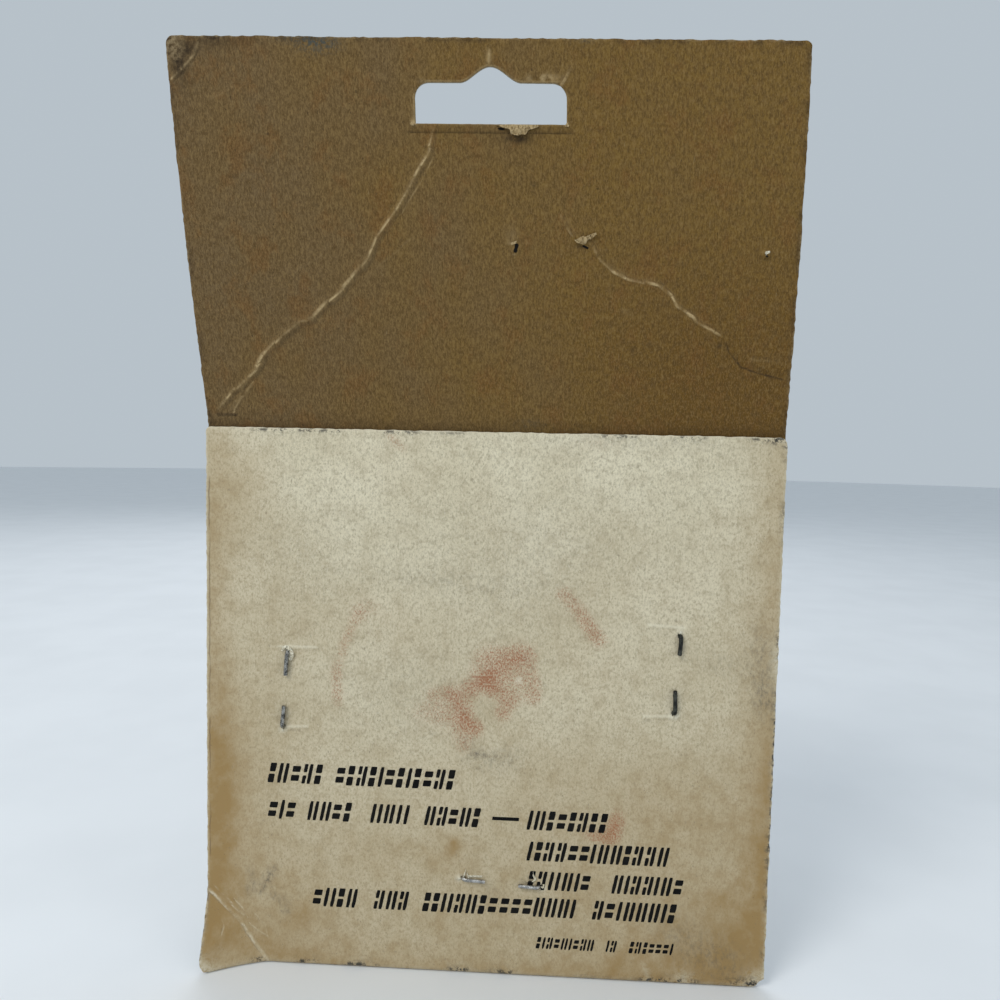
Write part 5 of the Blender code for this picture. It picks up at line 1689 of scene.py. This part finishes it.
def make_lock():
    """Ribbed thumb pad with its stem and inner leg."""
    zs = np.linspace(PAD_LOW, PAD_HIGH, 85)
    share = (zs - PAD_LOW) / (PAD_HIGH - PAD_LOW)
    ridge = np.abs(np.sin(math.pi * 6 * share)) ** 0.7
    ends = np.sqrt(np.clip(1 - (np.clip(np.abs(share - 0.5) - 0.40, 0, 0.1) / 0.1) ** 2, 0, 1))
    outward = (1.45 + 0.52 * ridge - 0.25 * np.cos(2 * math.pi * (share - 0.5))) * (0.25 + 0.75 * ends)
    outward = outward * PAD_RISE / outward.max()
    rows = []
    turn = [PAD_ROUND * (1 - np.cos(np.radians(steps)))
            for steps in (np.arange(20, 91, 14), np.arange(76, 19, -14))]
    for y in np.concatenate([[-PAD_HALF], turn[0] - PAD_HALF, np.linspace(-3.9, 3.9, 9),
                             PAD_HALF - turn[1], [PAD_HALF]]):
        fade = math.sqrt(max(0.06, 1 - (max(0.0, abs(y) - (PAD_HALF - PAD_ROUND)) / PAD_ROUND) ** 2))
        profile = np.column_stack([PAD_BACK + outward * fade, np.full(len(zs), y), zs])
        rows.append(np.concatenate([profile, [(PAD_BACK, y, PAD_HIGH), (PAD_BACK, y, PAD_LOW)]]))
    pad = (np.concatenate(rows), tube_faces(len(rows), len(rows[0])))
    verts, faces = join_parts([pad, rounded_box(*STEM_BOX), rounded_box(*LEG_BOX)])
    black = plastic_material("lock_black_plastic", (0.012, 0.012, 0.012), (0.12, 0.115, 0.10))
    piece = tape_piece("lock_thumb_pad", verts, faces, [black], None, "lock", 30)
    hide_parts("lock_button")


BLADE_Z = -18.45
BLADE_HALF_T = 0.13
BLADE_HALF_W = 6.35
BLADE_START = 1.0
BLADE_END = 25.0
BLADE_TRAVEL = JOINTS["blade_slide"]["range_m"][1] / MM
STRETCH = (5.0, 14.0)                       # the run of blade that is taken up when it is drawn out
INCH = 25.4


def drawn_place(x):
    """Where a point of the resting blade lies when the blade is fully drawn out."""
    t = np.clip((x - STRETCH[0]) / (STRETCH[1] - STRETCH[0]), 0, 1)
    return x + t * t * (3 - 2 * t) * BLADE_TRAVEL


REST_TABLE = np.linspace(BLADE_START, BLADE_END, 20001)
DRAWN_TABLE = drawn_place(REST_TABLE)
DRAWN_END = DRAWN_TABLE[-1]
TICKS = [(INCH / 16, 2.0, 0.11), (INCH / 8, 2.8, 0.12), (INCH / 4, 3.6, 0.14), (INCH / 2, 4.6, 0.15),
         (INCH, 6.4, 0.17)]                 # spacing, length and half thickness


def rest_place(drawn):
    return np.interp(drawn, DRAWN_TABLE, REST_TABLE)


def blade_height(drawn, y):
    """The blade's curved section, flat where it meets the hook."""
    cup = 0.75 * smooth_step(DRAWN_END - 9, DRAWN_END - 24, drawn) * smooth_step(20, 60, drawn)
    return BLADE_Z + cup * (y / BLADE_HALF_W) ** 2


def blade_material():
    g = Graph("blade_enamelled_face")
    place = g.attribute("reading")
    reading, y, face = g.split(place)
    from_edge = g.math("SUBTRACT", BLADE_HALF_W, g.math("ABSOLUTE", y))
    tone = g.noise(place, 0.4, 4.0, 0.6, stretch=(0.2, 1.0, 1.0))
    colour = g.mix(g.band(tone, 0.35, 0.7), (0.74, 0.69, 0.53), (0.66, 0.59, 0.42))
    marks = None
    for step, length, thick in TICKS:
        tick = g.band(g.math("PINGPONG", reading, step / 2), thick + 0.05, thick - 0.03)
        tick = g.mul(tick, g.band(from_edge, length + 0.05, length - 0.05))
        marks = tick if marks is None else g.math("MAXIMUM", marks, tick)
    marks = g.mul(marks, g.band(face, 0.4, 0.6))
    worn = g.noise(place, 2.2, 5.0, 0.75, stretch=(0.15, 1.0, 1.0))
    colour = g.coats(g.mix(g.mul(marks, 0.95), colour, (0.016, 0.015, 0.014)),
                     (worn, 0.66, 0.76, 0.7, (0.20, 0.18, 0.15)),
                     (from_edge, 0.28, 0.10, 0.6, (0.23, 0.22, 0.20)))
    rough = g.add(0.28, g.mul(worn, 0.25))
    return g.finish(Base_Color=colour, Roughness=rough, Normal=g.bump(worn, 0.00001))


def number_material():
    g = Graph("blade_number_ink")
    worn = g.noise(g.attribute("place"), 2.4, 4.0, 0.7)
    colour = g.coats((0.014, 0.013, 0.013), (worn, 0.62, 0.74, 0.6, (0.22, 0.20, 0.16)))
    return g.finish(Base_Color=colour, Roughness=g.add(0.40, g.mul(worn, 0.2)))


TIP_ROUND, TIP_NARROW = 1.4, 0.16           # the blade narrows by this share over its last stretch
NUMBER_SIZE, NUMBER_BACK = 5.6, 3.4         # type size, and distance past the inch mark, away from the hook


def make_strip():
    """The drawn-out run of blade with its graduations."""
    drawn = np.concatenate([np.linspace(BLADE_START, 40, 40), np.arange(41.0, DRAWN_END - 10, 1.2),
                            np.linspace(DRAWN_END - 10, DRAWN_END, 24)])
    ys = np.linspace(-BLADE_HALF_W, BLADE_HALF_W, 19)
    verts, reading = [], []
    for face, offset in ((1.0, BLADE_HALF_T), (0.0, -BLADE_HALF_T)):
        for d in drawn:
            tip = 1 - TIP_NARROW * (1 - min(1.0, (DRAWN_END - d) / TIP_ROUND)) ** 2
            for y in ys * tip:
                verts.append((float(rest_place(d)), y, float(blade_height(d, y)) + offset))
                reading.append((DRAWN_END - d, y, face))
    rows, n = len(drawn), len(ys)
    top = grid_faces(rows, n, closed=False)
    faces = [f[::-1] for f in top] + [tuple(i + rows * n for i in f) for f in top]
    ring = list(range(n)) + [r * n + n - 1 for r in range(1, rows)]
    ring += [(rows - 1) * n + i for i in range(n - 2, -1, -1)] + [r * n for r in range(rows - 2, 0, -1)]
    faces += [(b, a, a + rows * n, b + rows * n) for a, b in zip(ring, ring[1:] + ring[:1])]
    blade = mesh_piece("blade_strip", from_tape(verts), faces, [blade_material()])
    add_vectors(blade.data, "reading", reading)
    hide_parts("blade_run")
    return blade


def number_shape(number):
    """Flat points and triangles of a printed number."""
    font = bpy.data.curves.new("number", "FONT")
    font.body = str(number)
    font.align_x = font.align_y = "CENTER"
    font.size = NUMBER_SIZE
    font.resolution_u = 3
    text = bpy.data.objects.new("number", font)
    bpy.context.scene.collection.objects.link(text)
    mesh = text.to_mesh()
    mesh.calc_loop_triangles()
    pts = np.array([v.co[:2] for v in mesh.vertices])
    tris = np.array([t.vertices for t in mesh.loop_triangles])
    text.to_mesh_clear()
    bpy.data.objects.remove(text)
    bpy.data.curves.remove(font)
    return pts, wound(pts, tris, 1)[np.abs(double_area(pts, tris)) > 1e-9]


def make_numbers():
    """Numbers at every inch of the blade."""
    parts = []
    for inch in range(1, int(BLADE_TRAVEL / INCH) + 1):
        pts, tris = number_shape(inch)
        far = DRAWN_END - inch * INCH - NUMBER_BACK - pts[:, 0]
        across = -pts[:, 1]
        height = blade_height(far, across)
        parts.append(slab(tris, *(np.column_stack([rest_place(far), across, height + BLADE_HALF_T + rise])
                                  for rise in (0.02, -0.08))))
    verts, faces = join_parts(parts)
    numbers = mesh_piece("blade_numbers", from_tape(verts), faces, [number_material()])
    add_vectors(numbers.data, "place", verts)
    return numbers


def make_blade():
    for piece in (make_strip(), make_numbers()):
        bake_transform(piece)


HOOK_BACK = 15.5
HOOK_FOLD_X = 24.7
HOOK_FOLD_R = 0.6
HOOK_MID_Z = -19.2
HOOK_DROP = -24.2
HOOK_HALF_T = 0.3
RIVETS = {"hook_rivet_1": (18.5, -3.2), "hook_rivet_2": (18.5, 3.2)}


def hook_path(along):
    """Middle and outward normal of the bent hook at a distance from its back edge."""
    flat = HOOK_FOLD_X - HOOK_BACK
    angle = np.clip((along - flat) / HOOK_FOLD_R, 0, math.pi / 2)
    rest = np.clip(along - flat - HOOK_FOLD_R * math.pi / 2, 0, None)
    x = HOOK_BACK + np.minimum(along, flat) + HOOK_FOLD_R * np.sin(angle)
    z = HOOK_MID_Z - HOOK_FOLD_R * (1 - np.cos(angle)) - rest
    return x, z, np.sin(angle), np.cos(angle)


HOOK_BACK_R, HOOK_FRONT_R = 2.2, 1.2        # corner radii of the hook's flat pattern
HOOK_SLOT_R, HOOK_SLOT_BACK, HOOK_SLOT_FRONT = 0.98, 1.0, 0.2
RIVET_HEAD_R, RIVET_RISE = 1.4, 0.42
RIVET_DOME = [(0, RIVET_RISE)] + [(RIVET_HEAD_R * math.sin(a), RIVET_RISE * math.cos(a))
                                  for a in np.radians((20, 38, 55, 70, 82, 90))]
RIVET_R = 0.7


def make_hook(steel):
    length = HOOK_FOLD_X - HOOK_BACK + HOOK_FOLD_R * (math.pi / 2 - 1) + HOOK_MID_Z - HOOK_DROP
    half, r, f = BLADE_HALF_W - 0.02, HOOK_BACK_R, HOOK_FRONT_R
    outline = arc(r, -half + r, r, 180, 270, 7) + arc(length - f, -half + f, f, 270, 360, 6)
    outline += arc(length - f, half - f, f, 0, 90, 6) + arc(r, half - r, r, 90, 180, 7)
    dense = resample(outline + outline[:1], 0.35)
    holes = [arc(x - HOOK_BACK - HOOK_SLOT_BACK, y, HOOK_SLOT_R, 90, 270, 10)
             + arc(x - HOOK_BACK + HOOK_SLOT_FRONT, y, HOOK_SLOT_R, -90, 90, 10) for x, y in RIVETS.values()]
    pts, tris = plate([np.array(dense)[:-1]] + holes, 0.45, 520)
    x, z, nx, nz = hook_path(pts[:, 0])
    rim = edge_distance(pts, pts[np.unique(border_edges(tris))])
    half_t = HOOK_HALF_T * (1 - 0.35 * bump(rim, 0.12))
    top, low = (np.column_stack([x + nx * t, pts[:, 1], z + nz * t]) for t in (half_t, -half_t))
    verts, faces = slab(tris, top, low)
    piece = tape_piece("hook_plate", verts, faces, [steel], None, "hook", 50)
    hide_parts("end_hook")
    head = BLADE_Z + 0.22
    tail = HOOK_MID_Z - HOOK_HALF_T - 0.06
    profile = [(r, head + h) for r, h in RIVET_DOME] + [(RIVET_R, head), (RIVET_R, tail)]
    profile += [(r, tail - h) for r, h in RIVET_DOME[::-1]]
    turned, faces = lathe(profile, 40)
    for name, (rx, ry) in RIVETS.items():
        verts = np.column_stack([rx + turned[:, 0], ry + turned[:, 2], turned[:, 1]])
        piece = tape_piece(name + "_body", verts, [f[::-1] for f in faces], [steel], None, "blade_tip", 40)
        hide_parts(name)


# ------------------------------------------------------------ materials for the CAD's own pieces

def clear_material():
    """Old clear plastic: slightly yellow, scratched, with soft ripples."""
    g = Graph("clear_pocket_film")
    where = g.object_place()
    haze = g.noise(where, 0.16, 4.0, 0.6)
    scratch = g.band(g.noise(where, 1.4, 4.0, 0.7, stretch=(1.0, 1.0, 0.12)), 0.66, 0.74)
    ripple = g.noise(where, 0.10, 2.0, 0.4)
    rough = g.add(0.02, g.add(g.mul(g.band(haze, 0.45, 0.75), 0.10), g.mul(scratch, 0.35)))
    colour = g.mix(g.band(haze, 0.3, 0.7), (0.985, 0.978, 0.935), (0.955, 0.940, 0.870))
    height = g.add(g.mul(ripple, 9.0), g.mul(scratch, 0.15))
    return g.finish(Base_Color=colour, Roughness=rough, Transmission_Weight=1.0, IOR=1.30,
                    Specular_IOR_Level=0.5, Normal=g.bump(height, 0.00010))


def dull_material(name, dark, pale, metal, rough_low):
    g = Graph(name)
    where = g.object_place()
    cloud, fine = g.noise(where, 0.5, 4.0, 0.6), g.noise(where, 3.0, 4.0, 0.7)
    colour = g.coats(g.mix(g.band(cloud, 0.3, 0.7), pale, dark),
                     (fine, 0.6, 0.75, 0.5, tuple(0.5 * c for c in dark)))
    return g.finish(Base_Color=colour, Metallic=metal, Roughness=g.add(rough_low, g.mul(fine, 0.25)),
                    Normal=g.bump(fine, 0.00001))


DULL_LOOKS = [                              # material, dark, pale, metallic, least roughness; CAD nodes
    (("nylon_moulding", (0.52, 0.49, 0.40), (0.64, 0.61, 0.52), 0.0, 0.38), ("arbor_post", "reel_drum")),
    (("spring_strip", (0.10, 0.12, 0.16), (0.26, 0.28, 0.32), 1.0, 0.20), ("power_spring",)),
    (("washer_steel", (0.30, 0.30, 0.29), (0.45, 0.45, 0.44), 1.0, 0.25), ("reel_washer",)),
    (("coil_enamel", (0.50, 0.46, 0.34), (0.68, 0.63, 0.49), 0.0, 0.30), ("blade_coil",)),
    (("lip_plastic", (0.010, 0.010, 0.010), (0.024, 0.024, 0.024), 0.0, 0.38), ("mouth_lip",)),
    (("brake_rubber", (0.010, 0.010, 0.010), (0.030, 0.028, 0.026), 0.0, 0.60), ("brake_pad",)),
]


def dress_nodes():
    chosen = [(dull_material(*look), nodes) for look, nodes in DULL_LOOKS]
    for material, nodes in chosen + [(clear_material(), ("clear_blister",))]:
        for name in nodes:
            data = bpy.data.objects[name].data
            data.materials.clear()
            data.materials.append(material)


def make_tape():
    chrome = chrome_material("case_bright_chrome", (0.60, 0.60, 0.61), 0.05)
    steel = steel_material("hook_and_screw_steel")
    make_front_shell(chrome)
    make_rear_shell(chrome)
    make_badge(chrome)
    make_screws(steel)
    make_lock()
    make_blade()
    make_hook(steel)
    dress_nodes()


# ------------------------------------------------------------ floor, camera, lights

def make_stage():
    bpy.ops.mesh.primitive_circle_add(vertices=96, radius=3.0, fill_type="NGON",
                                      location=(0, 0, CARD_LOW.z - 0.00005))
    floor = bpy.context.object
    floor.name = "floor"
    g = Graph("pale_floor")
    tone = g.noise(g.node("ShaderNodeTexCoord").outputs["Object"], 30.0, 3.0)
    colour = g.mix(g.band(tone, 0.3, 0.7), (0.78, 0.80, 0.82), (0.81, 0.83, 0.85))
    floor.data.materials.append(g.finish(Base_Color=colour, Roughness=0.7))


CAMERA_PLACE = (6.87, -114.54, 82.96)       # millimetres from the card's origin
CAMERA_LENS, CAMERA_SENSOR = 27.04, 36.0
CAMERA_TURN, CAMERA_DOWN, CAMERA_ROLL = 2.687, 3.573, 1.206     # degrees
LIGHT_TARGET = (0, 0.01, -0.065)
LIGHTS = [                                  # name, place, size, power, colour
    ("key", (-0.34, -0.40, 0.40), 0.30, 2.1, (1.0, 0.985, 0.95)),
    ("fill", (0.48, -0.32, 0.12), 0.45, 0.40, (1.0, 0.97, 0.90)),
    ("back", (-0.15, 0.55, 0.45), 0.50, 1.3, (0.97, 0.98, 1.0)),
]
ROOM_COLOUR = (0.475, 0.535, 0.585, 1.0)


def make_camera():
    """The photograph's close, slightly high and slightly turned view."""
    camera = bpy.data.objects.new("camera", bpy.data.cameras.new("camera"))
    bpy.context.scene.collection.objects.link(camera)
    camera.data.lens = CAMERA_LENS
    camera.data.sensor_width = CAMERA_SENSOR
    camera.data.clip_start = 0.001
    matrix = Matrix.Translation(Vector(CAMERA_PLACE) * MM + CARD_ORIGIN)
    for angle, axis in ((CAMERA_TURN, "Z"), (90 - CAMERA_DOWN, "X"), (CAMERA_ROLL, "Z")):
        matrix = matrix @ Matrix.Rotation(math.radians(angle), 4, axis)
    camera.matrix_world = matrix
    bpy.context.scene.camera = camera


def make_lights():
    for name, place, size, power, colour in LIGHTS:
        light = bpy.data.lights.new(name, "AREA")
        light.shape = "DISK"
        light.size = size
        light.energy = power
        light.color = colour
        lamp = bpy.data.objects.new(name, light)
        lamp.location = place
        lamp.rotation_euler = (Vector(LIGHT_TARGET) - Vector(place)).to_track_quat("-Z", "Y").to_euler()
        bpy.context.scene.collection.objects.link(lamp)
    world = bpy.data.worlds.new("studio")
    bpy.context.scene.world = world
    world.use_nodes = True
    background = world.node_tree.nodes["Background"]
    background.inputs["Color"].default_value = ROOM_COLOUR
    background.inputs["Strength"].default_value = 1.0
    bpy.context.scene.view_settings.view_transform = "Standard"


make_card()
make_print()
make_staples()
make_torn_fibre()
make_tape()
make_stage()
make_camera()
make_lights()
